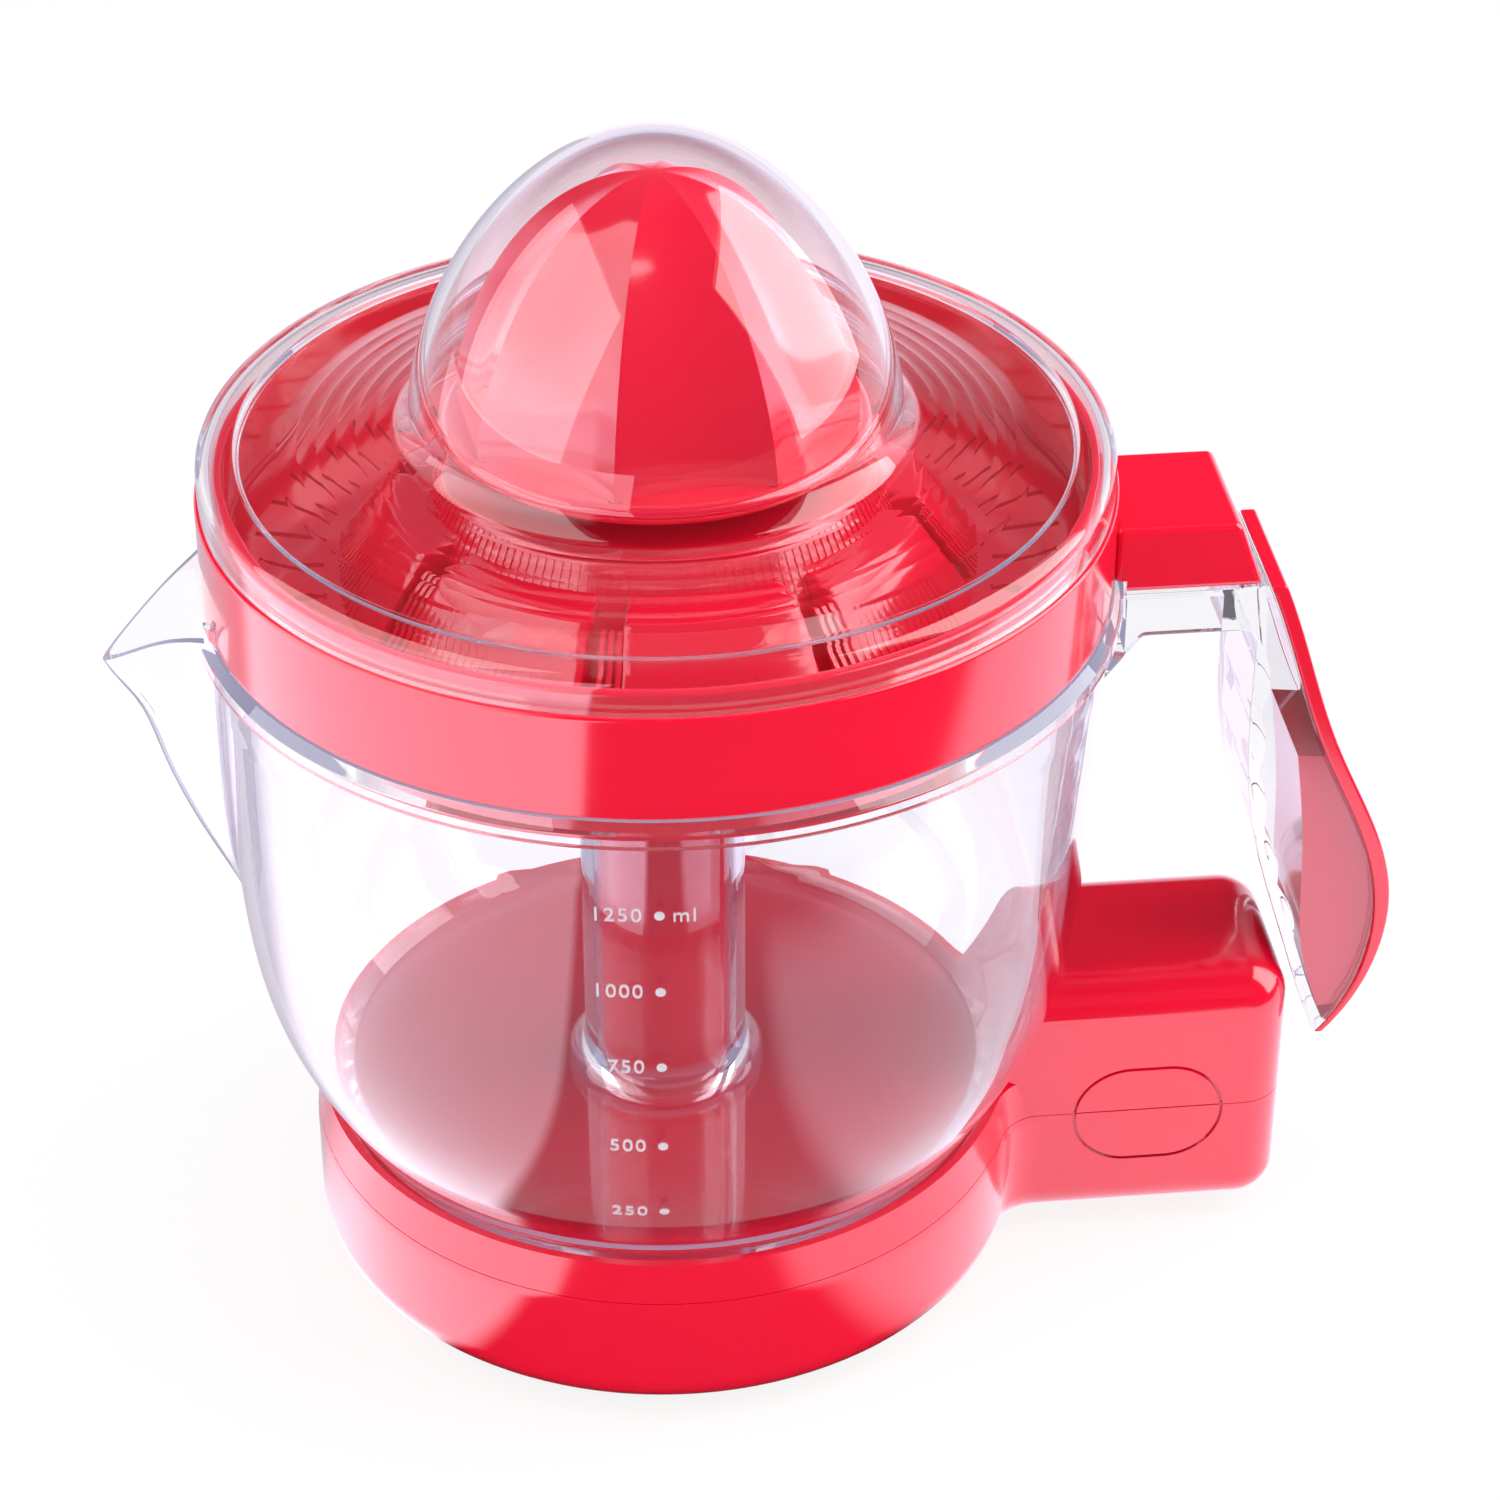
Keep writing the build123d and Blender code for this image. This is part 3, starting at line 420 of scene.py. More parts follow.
def clearPlastic():
    # light and shadow pass through, the eye sees glass
    material, finish = newFinish("clearPlastic")
    cloud = finish.noise(clearLook["cloud"], 2)
    facing = finish.node("ShaderNodeLayerWeight", None, {"Blend": 0.5}, "Facing")
    wall = finish.mix(cloud, clearLook["colour"], clearLook["tint"])
    glass = finish.node("ShaderNodeBsdfPrincipled", None, {
        # painted edge shade: grey-lilac mixed in by how far the wall turns away from the eye
        "Base Color": finish.mix(finish.rise(facing, *clearLook["paintedEdgeShadeFacing"]), wall, clearLook["edge"]),
        "Roughness": clearLook["roughness"] + cloud * clearLook["cloudRoughness"],
        "IOR": clearLook["ior"],
        "Coat Weight": 1 - finish.node("ShaderNodeNewGeometry", output="Backfacing"),
        "Coat IOR": clearLook["coatIor"],
        "Coat Roughness": 0.0,
        "Transmission Weight": 1.0,
    })
    # painted glow: rays that stay trapped deep in the walls end in a lilac emission instead of black
    edge = finish.node("ShaderNodeEmission", None, {"Color": clearLook["paintedGlow"], "Strength": 1.0})
    paintedGlow = finish.rise(finish.ray("Ray Depth"), *clearLook["paintedGlowDepth"])
    solid = finish.mixShaders(paintedGlow, glass, edge)
    through = finish.node("ShaderNodeBsdfTransparent", None, {"Color": clearLook["shadow"]})
    finish.surface(finish.mixShaders(finish.ray("Is Shadow Ray"), solid, through))
    material.cycles.emission_sampling = "NONE"
    return material


frostedLook = {
    "colour": (0.9, 0.86, 0.95, 1),
    "brighter": (0.98, 0.97, 1, 1),
    "roughness": 0.3,
    "grain": 900,
    "grainRoughness": 0.15,
    "ior": 1.49,
    "clearness": 0.5,
}


def frostedMark():
    material, finish = newFinish("frostedMark")
    grain = finish.noise(frostedLook["grain"], 2)
    shader = finish.node("ShaderNodeBsdfPrincipled", None, {
        "Base Color": finish.mix(grain, frostedLook["colour"], frostedLook["brighter"]),
        "Roughness": frostedLook["roughness"] + grain * frostedLook["grainRoughness"],
        "IOR": frostedLook["ior"],
        "Transmission Weight": frostedLook["clearness"],
    })
    finish.surface(shader)
    return material


metalLook = {"metallic": 1.0, "detail": 4, "darker": 0.82, "grainRoughness": 0.15, "bump": (0.1, 0.03)}
dullLook = {"metallic": 0.0, "detail": 3, "darker": 0.85, "grainRoughness": 0.1, "bump": (0.2, 0.05)}


def grained(name, look, colour, roughness, grainScale=1100):
    material, finish = newFinish(name)
    grain = finish.noise(grainScale, look["detail"])
    darker = [channel * look["darker"] for channel in colour[:3]] + [1]
    shader = finish.node("ShaderNodeBsdfPrincipled", None, {
        "Base Color": finish.mix(grain, colour, darker),
        "Metallic": look["metallic"],
        "Roughness": roughness + grain * look["grainRoughness"],
        "Normal": finish.bump(grain, *look["bump"]),
    })
    finish.surface(shader)
    return material


red = redPlastic()
clear = clearPlastic()
frosted = frostedMark()
slotFinish = {
    "red_plastic": red,
    "clear_plastic": clear,
    "gear_plastic": grained("palePlastic", dullLook, (0.82, 0.79, 0.7, 1), 0.42),
    "dark_plastic": grained("darkPlastic", dullLook, (0.03, 0.03, 0.034, 1), 0.45),
    "rubber": grained("footRubber", dullLook, (0.035, 0.035, 0.036, 1), 0.7),
    "steel": grained("turnedSteel", metalLook, (0.6, 0.6, 0.61, 1), 0.24, 700),
    "brass": grained("bushBrass", metalLook, (0.74, 0.52, 0.2, 1), 0.25, 700),
    "copper": grained("coilCopper", metalLook, (0.75, 0.33, 0.16, 1), 0.3, 500),
    "laminations": grained("coreIron", metalLook, (0.28, 0.28, 0.3, 1), 0.4, 900),
    "magnet": grained("rotorMagnet", metalLook, (0.12, 0.12, 0.13, 1), 0.35, 900),
}
for entry in frame["record"]["subparts"]:
    node = frame["nodes"][entry["node"]]
    node.data.materials.clear()
    node.data.materials.append(slotFinish[entry["material_slot"]])
print("finishes made:", len(bpy.data.materials))


# dust cover

coverShape = {
    "wall": 1.7,
    "skirtR": 77.0,
    "skirtZ": 155.65,
    "rimTop": 163.4,
    "rimWidth": 6.4,
    "rimRound": 3.3,
    "rimStep": 0.8,
    "dishZ": 162.2,
    "dishCorner": 0.6,
    "dishR": 63.4,
    "dishRound": 3.0,
    "rings": 5,
    "ringHeight": 0.1,
    "ringHalf": 0.9,
    "ringSink": 0.2,
    "ringRound": 0.7,
    "footRun": 2.2,
    "footRise": 3.8,
    "domeR": 41.4,
    "domeFootRise": 3.5,
    "footRound": 2.0,
    "domeLean": (-0.12, 1),
    "domePoints": 44,
    "waist": (34.0, 192.0),
    "topZ": 216.6,
}


def coverOutline(shape, inset, ringHeight):
    ringR = shape["skirtR"] - shape["rimWidth"]
    step = shape["rimStep"]
    dishZ = shape["dishZ"] - inset
    footR = shape["domeR"] + shape["footRun"]
    footZ = shape["dishZ"] + shape["footRise"] - inset
    points = [
        (shape["skirtR"] - inset, shape["skirtZ"]),
        (shape["skirtR"] - inset, shape["rimTop"] - inset, shape["rimRound"] - inset / 2),
        (ringR, shape["rimTop"] - inset, step),
        (ringR - step, dishZ, shape["dishCorner"]),
        (shape["dishR"], dishZ, shape["dishRound"]),
    ]
    half, sink = shape["ringHalf"], shape["ringSink"]
    run = (shape["dishR"] - footR) / (shape["rings"] + 1)
    climb = shape["footRise"] / (shape["rings"] + 1)
    for ring in range(1, shape["rings"] + 1):
        crestR = shape["dishR"] - ring * run
        crestZ = shape["dishZ"] + ring * climb - inset
        points += [
            (crestR + half, crestZ - sink),
            (crestR, crestZ + ringHeight, shape["ringRound"]),
            (crestR - half, crestZ + sink),
        ]
    domeFoot = (shape["domeR"] - inset, footZ + shape["domeFootRise"])
    points += [(footR - inset / 2, footZ, shape["footRound"]), domeFoot]
    waistR, waistZ = shape["waist"]
    domeLine = [domeFoot, (waistR - inset, waistZ - inset / 2), (0, shape["topZ"] - inset)]
    dome = throughPoints(domeLine, shape["domePoints"], shape["domeLean"], (-1, 0))
    return rounded(points)[:-1] + dome


def makeCover(shape):
    outside = coverOutline(shape, 0, shape["ringHeight"])
    inside = coverOutline(shape, shape["wall"], 0)
    piece = lathe("dustCover", outside + inside[::-1])
    smooth(piece, 40)
    return piece


place(makeCover(coverShape), "lid", clear, ["dust_cover"])


# reamer cone

coneShape = {
    "ridges": 8,
    "phase": 29.0,
    "rimR": 36.0,
    "rimZ": 165.0,
    "rimHeight": 3.6,
    "footR": 34.6,
    "bluntness": 1.55,
    "topZ": 210.3,
    "fluteDepth": 0.14,
    "wall": 2.2,
    "hollowShare": 0.6,
    "stemFlats": 11.0,
    "stemZ": 120.0,
    "socket": 4.5,
    "socketZ": 146.3,
    "rows": 56,
    "rowSpread": 1.4,
    "rimSteps": 12,
    "columns": 192,
}


def polygonR(angle, flats, sides):
    sector = 2 * math.pi / sides
    return flats / 2 / math.cos((angle + sector / 2) % sector - sector / 2)


def makeCone(shape):
    footZ = shape["rimZ"] + shape["rimHeight"]
    height = shape["topZ"] - footZ
    rows = []

    def bullet(share):
        return shape["footR"] * math.sqrt(max(1 - share ** shape["bluntness"], 0))

    def fluted(share):
        def radius(angle):
            turn = (math.degrees(angle) - shape["phase"]) % (360 / shape["ridges"]) * shape["ridges"] / 360
            hollow = 4 * turn * (1 - turn)
            return bullet(share) * (1 - shape["fluteDepth"] * hollow)
        return radius

    def circle(value):
        return lambda angle: value

    def prism(flats, sides):
        return lambda angle: polygonR(angle, flats, sides)

    for row in range(shape["rows"] + 1):
        share = 1 - (row / shape["rows"]) ** shape["rowSpread"]
        rows.append((fluted(share), footZ + share * height))
    halfRim = shape["rimHeight"] / 2
    for step in range(shape["rimSteps"] + 1):
        turn = math.pi / 2 - math.pi * step / shape["rimSteps"]
        rimR = shape["rimR"] - halfRim + halfRim * math.cos(turn)
        rows.append((circle(rimR), shape["rimZ"] + halfRim + halfRim * math.sin(turn)))
    hollowZ = footZ + height * shape["hollowShare"]
    inner = 1 - shape["fluteDepth"]
    mouth = circle(shape["footR"] * inner - shape["wall"])
    ceiling = circle(bullet(shape["hollowShare"]) * inner - shape["wall"])
    stem = prism(shape["stemFlats"], 6)
    socket = prism(shape["socket"], 4)
    rows += [(mouth, shape["rimZ"]), (mouth, footZ), (ceiling, hollowZ)]
    rows += [(stem, hollowZ), (stem, shape["stemZ"]), (socket, shape["stemZ"]), (socket, shape["socketZ"])]
    rows.append((circle(0), shape["socketZ"]))

    columns = shape["columns"]
    points, faces = [], []
    for radius, z in rows:
        for column in range(columns):
            angle = 2 * math.pi * column / columns + math.radians(shape["phase"])
            points.append((radius(angle) * math.cos(angle), radius(angle) * math.sin(angle), z))
    for row in range(len(rows) - 1):
        for column in range(columns):
            after = (column + 1) % columns
            low, high = row * columns, (row + 1) * columns
            faces.append((low + column, high + column, high + after, low + after))
    piece = newPiece("reamerCone", points, [], faces)
    cleanMesh(piece)
    smooth(piece, 28)
    return piece


place(makeCone(coneShape), "reamer", red, ["reamer_cone"])


# strainer

strainerShape = {
    "bandR": 77.6,
    "bandInnerR": 75.0,
    "bandZ": (136.85, 155.5),
    "neckR": (74.8, 72.8),
    "neckTopZ": 158.7,
    "neckFootZ": 149.1,
    "skirtR": (74.3, 72.5),
    "skirtFootZ": 131.85,
    "bowlEdgeZ": 141.0,
    "bowlLowZ": 138.5,
    "thickness": 2.0,
    "hubFootR": 46.0,
    "hubTopR": 35.5,
    "hubTopZ": 158.0,
    "collarR": 12.2,
    "collarFootZ": 137.0,
    "boreR": 9.36,
    "edgeRound": 0.7,
    "slots": 40,
    "slotWidth": 1.4,
    "slotFrom": 56.9,
    "slotLength": 12.0,
    "slotHeadroom": 4.0,
}
petalShape = {
    "count": 8,
    "gap": 7.0,
    "innerR": 36.9,
    "topZ": 153.5,
    "topDepth": 7.6,
    "slope": 1.5,
    "outerR": 55.5,
    "edgeRound": 0.9,
    "ribPitch": 1.7,
    "ribWidth": 0.8,
    "ribHeight": 0.45,
    "ribFootIn": 0.4,
    "ribFootSink": 0.5,
    "ribTopOut": 0.6,
    "ribTopDrop": 1.6,
    "ribMargin": 2.5,
}
hubRibs = {
    "count": 150,
    "width": 0.7,
    "height": 0.35,
    "footIn": 6.0,
    "footRise": 10.8,
    "topOut": 0.7,
    "topDrop": 1.3,
}
keyShape = {
    "rootX": 76.6,
    "topX": 98.0,
    "footX": 102.5,
    "footZ": 134.35,
    "topZ": 146.8,
    "halfWidth": 13.5,
    "wall": 2.6,
    "edgeRound": 1.3,
    "clearR": 79.8,
    "clearFootZ": 100.0,
}


def strainerOutline(shape):
    edge = shape["edgeRound"]
    under = shape["thickness"]
    bandLow, bandHigh = shape["bandZ"]
    neckOut, neckIn = shape["neckR"]
    skirtOut, skirtIn = shape["skirtR"]
    bowlUnderZ = shape["bowlEdgeZ"] - under
    return rounded([
        (shape["boreR"], shape["collarFootZ"]),
        (shape["collarR"], shape["collarFootZ"]),
        (shape["collarR"], shape["hubTopZ"] - under),
        (shape["hubTopR"] - under, shape["hubTopZ"] - under),
        (shape["hubFootR"] - under, shape["bowlLowZ"] - under),
        (skirtIn, bowlUnderZ),
        (skirtIn, shape["skirtFootZ"]),
        (skirtOut, shape["skirtFootZ"]),
        (skirtOut, bandLow),
        (shape["bandR"], bandLow, edge),
        (shape["bandR"], bandHigh, edge),
        (neckOut, bandHigh),
        (neckOut, shape["neckTopZ"], edge),
        (neckIn, shape["neckTopZ"], edge),
        (neckIn, shape["neckFootZ"]),
        (shape["bandInnerR"], shape["neckFootZ"]),
        (shape["bandInnerR"], shape["bowlEdgeZ"], 2 * edge),
        (shape["hubFootR"], shape["bowlLowZ"], edge),
        (shape["hubTopR"], shape["hubTopZ"], 2 * edge),
        (shape["boreR"], shape["hubTopZ"]),
    ], 4)


def uprightRib(name, foot, top, width, height):
    # thin bar lying on a leaning wall, from foot to top, each (radius, z)
    points = []
    for radius, z in (foot, top):
        for out in (-height, height):
            for side in (-width / 2, width / 2):
                points.append((radius + out, side, z))
    faces = [(0, 1, 3, 2), (4, 5, 7, 6), (0, 1, 5, 4), (2, 3, 7, 6), (0, 2, 6, 4), (1, 3, 7, 5)]
    piece = newPiece(name, points, [], faces)
    cleanMesh(piece)
    return piece


def makePetals(shape, bowl):
    half = 180 / shape["count"] - shape["gap"] / 2
    sunkZ = bowl["bowlLowZ"] - bowl["thickness"] / 2
    outline = [
        (bowl["hubFootR"] - bowl["thickness"], sunkZ),
        (shape["outerR"], sunkZ),
        (shape["innerR"] + shape["topDepth"], shape["topZ"] - shape["slope"]),
        (shape["innerR"], shape["topZ"]),
    ]
    petal = lathe("petal", outline, 14, 2 * half)
    petal.data.transform(Matrix.Rotation(math.radians(-half), 4, "Z"))
    softenEdges(petal, shape["edgeRound"], 2)
    return ringOf(petal, evenAngles(shape["count"]))


def makePetalRibs(shape, bowl):
    half = 180 / shape["count"] - shape["gap"] / 2
    foot = (shape["outerR"] - shape["ribFootIn"], bowl["bowlLowZ"] - shape["ribFootSink"])
    topR = shape["innerR"] + shape["topDepth"] + shape["ribTopOut"]
    top = (topR, shape["topZ"] - shape["slope"] - shape["ribTopDrop"])
    rib = uprightRib("petalRib", foot, top, shape["ribWidth"], shape["ribHeight"])
    pitch = math.degrees(shape["ribPitch"] / shape["outerR"])
    count = int((half - shape["ribMargin"]) / pitch)
    angles = []
    for middle in evenAngles(shape["count"]):
        angles += [middle + index * pitch for index in range(-count, count + 1)]
    return ringOf(rib, angles)


def makeKeyBlock(shape):
    outline = [
        (shape["rootX"], shape["footZ"]),
        (shape["footX"], shape["footZ"]),
        (shape["topX"], shape["topZ"]),
        (shape["rootX"], shape["topZ"]),
    ]
    block = plate("keyBlock", outline, shape["halfWidth"])
    softenEdges(block, shape["edgeRound"], 4)
    wall = shape["wall"]
    inside = boxOutline((shape["rootX"] + wall, shape["topX"] - wall), (0, shape["topZ"] - wall))
    combine(block, plate("keyHollow", inside, shape["halfWidth"] - wall), "DIFFERENCE")
    bandFootZ = strainerShape["bandZ"][0]
    clearance = lathe("rimRoom", boxOutline((0, shape["clearR"]), (shape["clearFootZ"], bandFootZ)), 96)
    combine(block, clearance, "DIFFERENCE")
    return block


def makeStrainer(shape):
    piece = lathe("strainerBowl", strainerOutline(shape))
    slotX = (shape["slotFrom"], shape["slotFrom"] + shape["slotLength"])
    slotZ = (shape["skirtFootZ"], shape["bowlEdgeZ"] + shape["slotHeadroom"])
    slot = plate("slot", boxOutline(slotX, slotZ), shape["slotWidth"] / 2)
    combine(piece, ringOf(slot, evenAngles(shape["slots"])), "DIFFERENCE")
    combine(piece, makePetals(petalShape, shape), "UNION")
    combine(piece, makeKeyBlock(keyShape), "UNION")
    foot = (shape["hubFootR"] - hubRibs["footIn"], shape["bowlLowZ"] + hubRibs["footRise"])
    top = (shape["hubTopR"] + hubRibs["topOut"], shape["hubTopZ"] - hubRibs["topDrop"])
    hubRib = uprightRib("hubRib", foot, top, hubRibs["width"], hubRibs["height"])
    ribs = ringOf(hubRib, evenAngles(hubRibs["count"]))
    join(piece, [ribs, makePetalRibs(petalShape, shape)])
    evenShading(piece)
    return piece


place(makeStrainer(strainerShape), "strainer", red, ["strainer"])


# jug

jugShape = {
    "footR": 59.2,
    "footZ": 32.05,
    "footRound": 0.8,
    "wallPoints": [(61.6, 36.1), (71.0, 55.8), (75.4, 86.6), (77.0, 125.0)],
    "wall": 2.2,
    "floorZ": 34.6,
    "floorOut": 0.6,
    "floorRound": 1.2,
    "rimZ": 136.7,
    "rimR": 79.3,
    "beadHeight": 4.4,
    "beadSlope": 1.6,
    "beadRounds": (0.5, 0.6, 0.4, 0.3, 0.7),
    "tubeR": 14.7,
    "tubeBoreR": 12.7,
    "tubeTopZ": 112.0,
    "tubeCap": 2.0,
    "tubeMouthR": 7.0,
    "tubeRound": 0.8,
    "mouthRound": 0.4,
    "flareR": 19.0,
    "flareHeight": 7.0,
    "flareSteps": 8,
}
spoutShape = {
    "rootZ": 76.0,
    "rootHalf": 5.0,
    "rimHalf": 23.5,
    "flank": 0.5,
    "noseRound": 4.0,
    "noseAtRoot": 0.4,
    "keel": [
        (74.7, 76.0), (81.3, 89.8), (87.0, 106.0), (90.6, 116.6),
        (93.6, 121.2), (95.3, 124.4), (99.5, 140.0),
    ],
    "lip": [(77.0, 136.7), (83.7, 133.3), (88.5, 129.9), (95.3, 124.4)],
    "lipCut": {"x": -140.0, "z": (100.0, 160.0), "halfWidth": 40.0},
    "wall": 1.7,
    "overlap": 0.4,
    "topZ": 140.0,
    "hollowR": 62.0,
    "hollowRise": 0.7,
    "hollowTopZ": 146.0,
    "rows": 26,
    "columns": 14,
    "closing": 10,
}
handleShape = {
    "halfWidth": 13.5,
    "wall": 2.2,
    "topZ": 134.2,
    "topX": 106.6,
    "middle": (118.45, 100.2),
    "bulge": (130.3, 68.0),
    "tip": (120.2, 37.5),
    "heel": (111.5, 58.2),
    "hollow": (102.9, 90.4),
    "innerX": 102.0,
    "armUnderZ": 125.6,
    "armCorner": 6.0,
    "gusset": (82.0, 116.6),
    "gussetRound": 2.0,
    "rootX": 75.2,
    "roomFootZ": 108.0,
    "topLean": (0.42, -1),
    "tipLean": (-0.9, -1),
    "heelLean": (-0.45, 1),
    "outerPoints": 48,
    "innerPoints": 64,
    "coverThickness": 3.0,
    "coverFit": 0.15,
    "coverRound": 1.2,
    "edgeRound": 0.5,
    "scallops": 5,
    "scallopDepth": 1.2,
    "insertEdge": [(111.5, 98.0), (114.0, 76.0), (115.5, 55.0), (119.3, 42.5)],
    "insertFit": 0.3,
    "insertLap": 1.0,
}
wallCurve = throughPoints(jugShape["wallPoints"], 40)
wallTopR, wallTopZ = jugShape["wallPoints"][-1]
wallR = heightToRadius(wallCurve + [(wallTopR, spoutShape["topZ"])])


def jugOutline(shape):
    bead = shape["beadSlope"]
    rimR, rimZ, floorZ = shape["rimR"], shape["rimZ"], shape["floorZ"]
    rimInnerR = wallCurve[-1][0] - shape["wall"]
    beadLow = rimZ - shape["beadHeight"]
    under, low, high, top, inner = shape["beadRounds"]
    footEdge = (shape["footR"], shape["footZ"], shape["footRound"])
    foot = rounded([(shape["tubeBoreR"], shape["footZ"]), footEdge, wallCurve[0]])
    outside = foot[1:-1] + wallCurve
    rim = rounded([
        wallCurve[-1],
        (wallCurve[-1][0], beadLow, under),
        (rimR, beadLow, low),
        (rimR, rimZ - bead, high),
        (rimR - bead, rimZ, top),
        (rimInnerR, rimZ, inner),
        (rimInnerR, wallTopZ),
    ])[1:-1]
    inside = [(radius - shape["wall"], z) for radius, z in wallCurve[::-1]]
    cornerR = shape["footR"] - shape["wall"] + shape["floorOut"]
    corner = rounded([inside[-1], (cornerR, floorZ, shape["floorRound"]), (shape["flareR"], floorZ)])
    flare = []
    for step in range(shape["flareSteps"] + 1):
        turn = math.pi / 2 * step / shape["flareSteps"]
        flareR = shape["flareR"] - (shape["flareR"] - shape["tubeR"]) * math.sin(turn)
        flare.append((flareR, floorZ + shape["flareHeight"] * (1 - math.cos(turn))))
    capZ = shape["tubeTopZ"] - shape["tubeCap"]
    tube = rounded([
        flare[-1],
        (shape["tubeR"], shape["tubeTopZ"], shape["tubeRound"]),
        (shape["tubeMouthR"], shape["tubeTopZ"], shape["mouthRound"]),
        (shape["tubeMouthR"], capZ),
        (shape["tubeBoreR"], capZ, shape["tubeRound"]),
        (shape["tubeBoreR"], shape["footZ"]),
    ])
    return outside + rim + inside[:-1] + corner[1:-1] + flare + tube[1:]


def spoutLoop(shape, z, inset, closeR):
    # one level section: a smooth nose that leaves the wall along it
    share = (z - shape["rootZ"]) / (jugShape["rimZ"] - shape["rootZ"])
    share = min(max(share, 0), 1)
    half = shape["rootHalf"] + (shape["rimHalf"] - shape["rootHalf"]) * share
    keel = heightToRadius(throughPoints(shape["keel"], 60))
    reach = keel(z) - inset
    rootR = wallR(z) - shape["overlap"] - inset
    rootX = math.sqrt(rootR ** 2 - half ** 2)
    start = Vector((-rootX, half))
    bend = start + Vector((-half, -rootX)) / rootR * shape["flank"] * half
    noseShare = shape["noseAtRoot"] + (1 - shape["noseAtRoot"]) * share
    nose = Vector((-reach, shape["noseRound"] * noseShare))
    end = Vector((-reach, 0))
    flank = []
    for step in range(shape["columns"] + 1):
        along = step / shape["columns"]
        rest = 1 - along
        spot = start * rest ** 3 + bend * 3 * along * rest ** 2
        spot += nose * 3 * along * along * rest
        spot += end * along ** 3
        flank.append(spot)
    loop = [(spot.x, spot.y, z) for spot in flank] + [(spot.x, -spot.y, z) for spot in flank[-2::-1]]
    turn = math.asin(half / rootR)
    for step in range(1, shape["closing"]):
        angle = -turn + 2 * turn * step / shape["closing"]
        loop.append((-closeR * math.cos(angle), closeR * math.sin(angle), z))
    return loop


def addSpout(jug, shape):
    heights = np.linspace(shape["rootZ"], shape["topZ"], shape["rows"])
    outer = stackedLoops("spout", [spoutLoop(shape, z, 0, wallR(z) - jugShape["wall"] / 2) for z in heights])
    lip = throughPoints([(-x, z) for x, z in shape["lip"]], 16)
    cut = shape["lipCut"]
    cutLow, cutHigh = cut["z"]
    beyond = [(cut["x"], cutLow), (cut["x"], cutHigh), (-shape["lip"][0][0], cutHigh)]
    combine(outer, plate("aboveLip", lip + beyond, cut["halfWidth"]), "DIFFERENCE")
    combine(jug, outer, "UNION")
    heights = np.linspace(shape["rootZ"] + shape["hollowRise"], shape["hollowTopZ"], shape["rows"])
    loops = [spoutLoop(shape, z, shape["wall"], shape["hollowR"]) for z in heights]
    combine(jug, stackedLoops("spoutHollow", loops), "DIFFERENCE")


def gripCurves(shape, outerInset, innerInset, wave=0.0):
    tipX = shape["tip"][0] - outerInset / 2 + innerInset / 2
    tip = (tipX, shape["tip"][1] + innerInset)
    lowZ, highZ = shape["heel"][1], shape["armUnderZ"] - shape["armCorner"]
    outerLine = [
        (shape["topX"] - outerInset, shape["topZ"] - innerInset),
        (shape["middle"][0] - outerInset, shape["middle"][1]),
        (shape["bulge"][0] - outerInset, shape["bulge"][1]),
        tip,
    ]
    innerLine = [
        tip,
        (shape["heel"][0] + innerInset, lowZ),
        (shape["hollow"][0] + innerInset, shape["hollow"][1]),
        (shape["innerX"] + innerInset, highZ),
    ]
    outer = throughPoints(outerLine, shape["outerPoints"], shape["topLean"], shape["tipLean"])
    inner = throughPoints(innerLine, shape["innerPoints"], shape["heelLean"], (0, 1))
    if wave:
        turns = 2 * math.pi * shape["scallops"] / (highZ - lowZ)
        inner = [(x + wave * abs(math.sin((z - lowZ) * turns / 2)) * (lowZ < z < highZ), z) for x, z in inner]
    return outer, inner


def addHandle(jug, shape):
    outer, inner = gripCurves(shape, shape["coverThickness"], 0)
    endZ = shape["armUnderZ"] - shape["armCorner"]
    gussetX, gussetZ = shape["gusset"]
    arm = rounded([
        (shape["innerX"], endZ),
        (shape["innerX"], shape["armUnderZ"], shape["armCorner"]),
        (gussetX, shape["armUnderZ"], shape["gussetRound"]),
        (shape["rootX"], gussetZ),
        (shape["rootX"], shape["topZ"]),
    ])
    handle = plate("handle", outer[:-1] + inner[:-1] + arm, shape["halfWidth"])
    softenEdges(handle, shape["edgeRound"], 2, 50)
    mouth = shape["coverThickness"] / 3
    outer, inner = gripCurves(shape, shape["coverThickness"] - mouth, shape["wall"], shape["scallopDepth"])
    underZ = shape["topZ"] - shape["wall"]
    top = [(shape["topX"] - shape["coverThickness"], underZ)]
    channel = plate("channel", outer[:-1] + inner + top, shape["halfWidth"] - shape["wall"])
    combine(handle, channel, "DIFFERENCE")
    roomX = (wallTopR + shape["wall"], shape["innerX"] - shape["armCorner"])
    room = boxOutline(roomX, (shape["roomFootZ"], underZ))
    combine(handle, plate("armRoom", room, shape["halfWidth"] - shape["wall"]), "DIFFERENCE")
    combine(jug, handle, "UNION")


def makeJug():
    jug = lathe("clearJug", jugOutline(jugShape))
    addSpout(jug, spoutShape)
    addHandle(jug, handleShape)
    evenShading(jug, 34)
    return jug


def makeHandleCover(shape):
    outer, _ = gripCurves(shape, 0, 0)
    inner, _ = gripCurves(shape, shape["coverThickness"] - shape["coverFit"], 0)
    cover = plate("handleCover", outer + inner[::-1], shape["halfWidth"])
    softenEdges(cover, shape["coverRound"], 4, 50)
    edge = throughPoints(shape["insertEdge"], 12)
    outer, _ = gripCurves(shape, shape["coverThickness"] - shape["insertLap"], 0)
    outer = [(x, z) for x, z in outer if edge[-1][1] < z < edge[0][1]]
    insert = plate("gripInsert", edge + outer[::-1], shape["halfWidth"] - shape["wall"] - shape["insertFit"])
    combine(cover, insert, "UNION")
    evenShading(cover, 34)
    return cover


place(makeJug(), "jug", clear, ["jug"])
place(makeHandleCover(handleShape), "jug", red, ["handle_cover"])


# raised scale on the jug's front wall

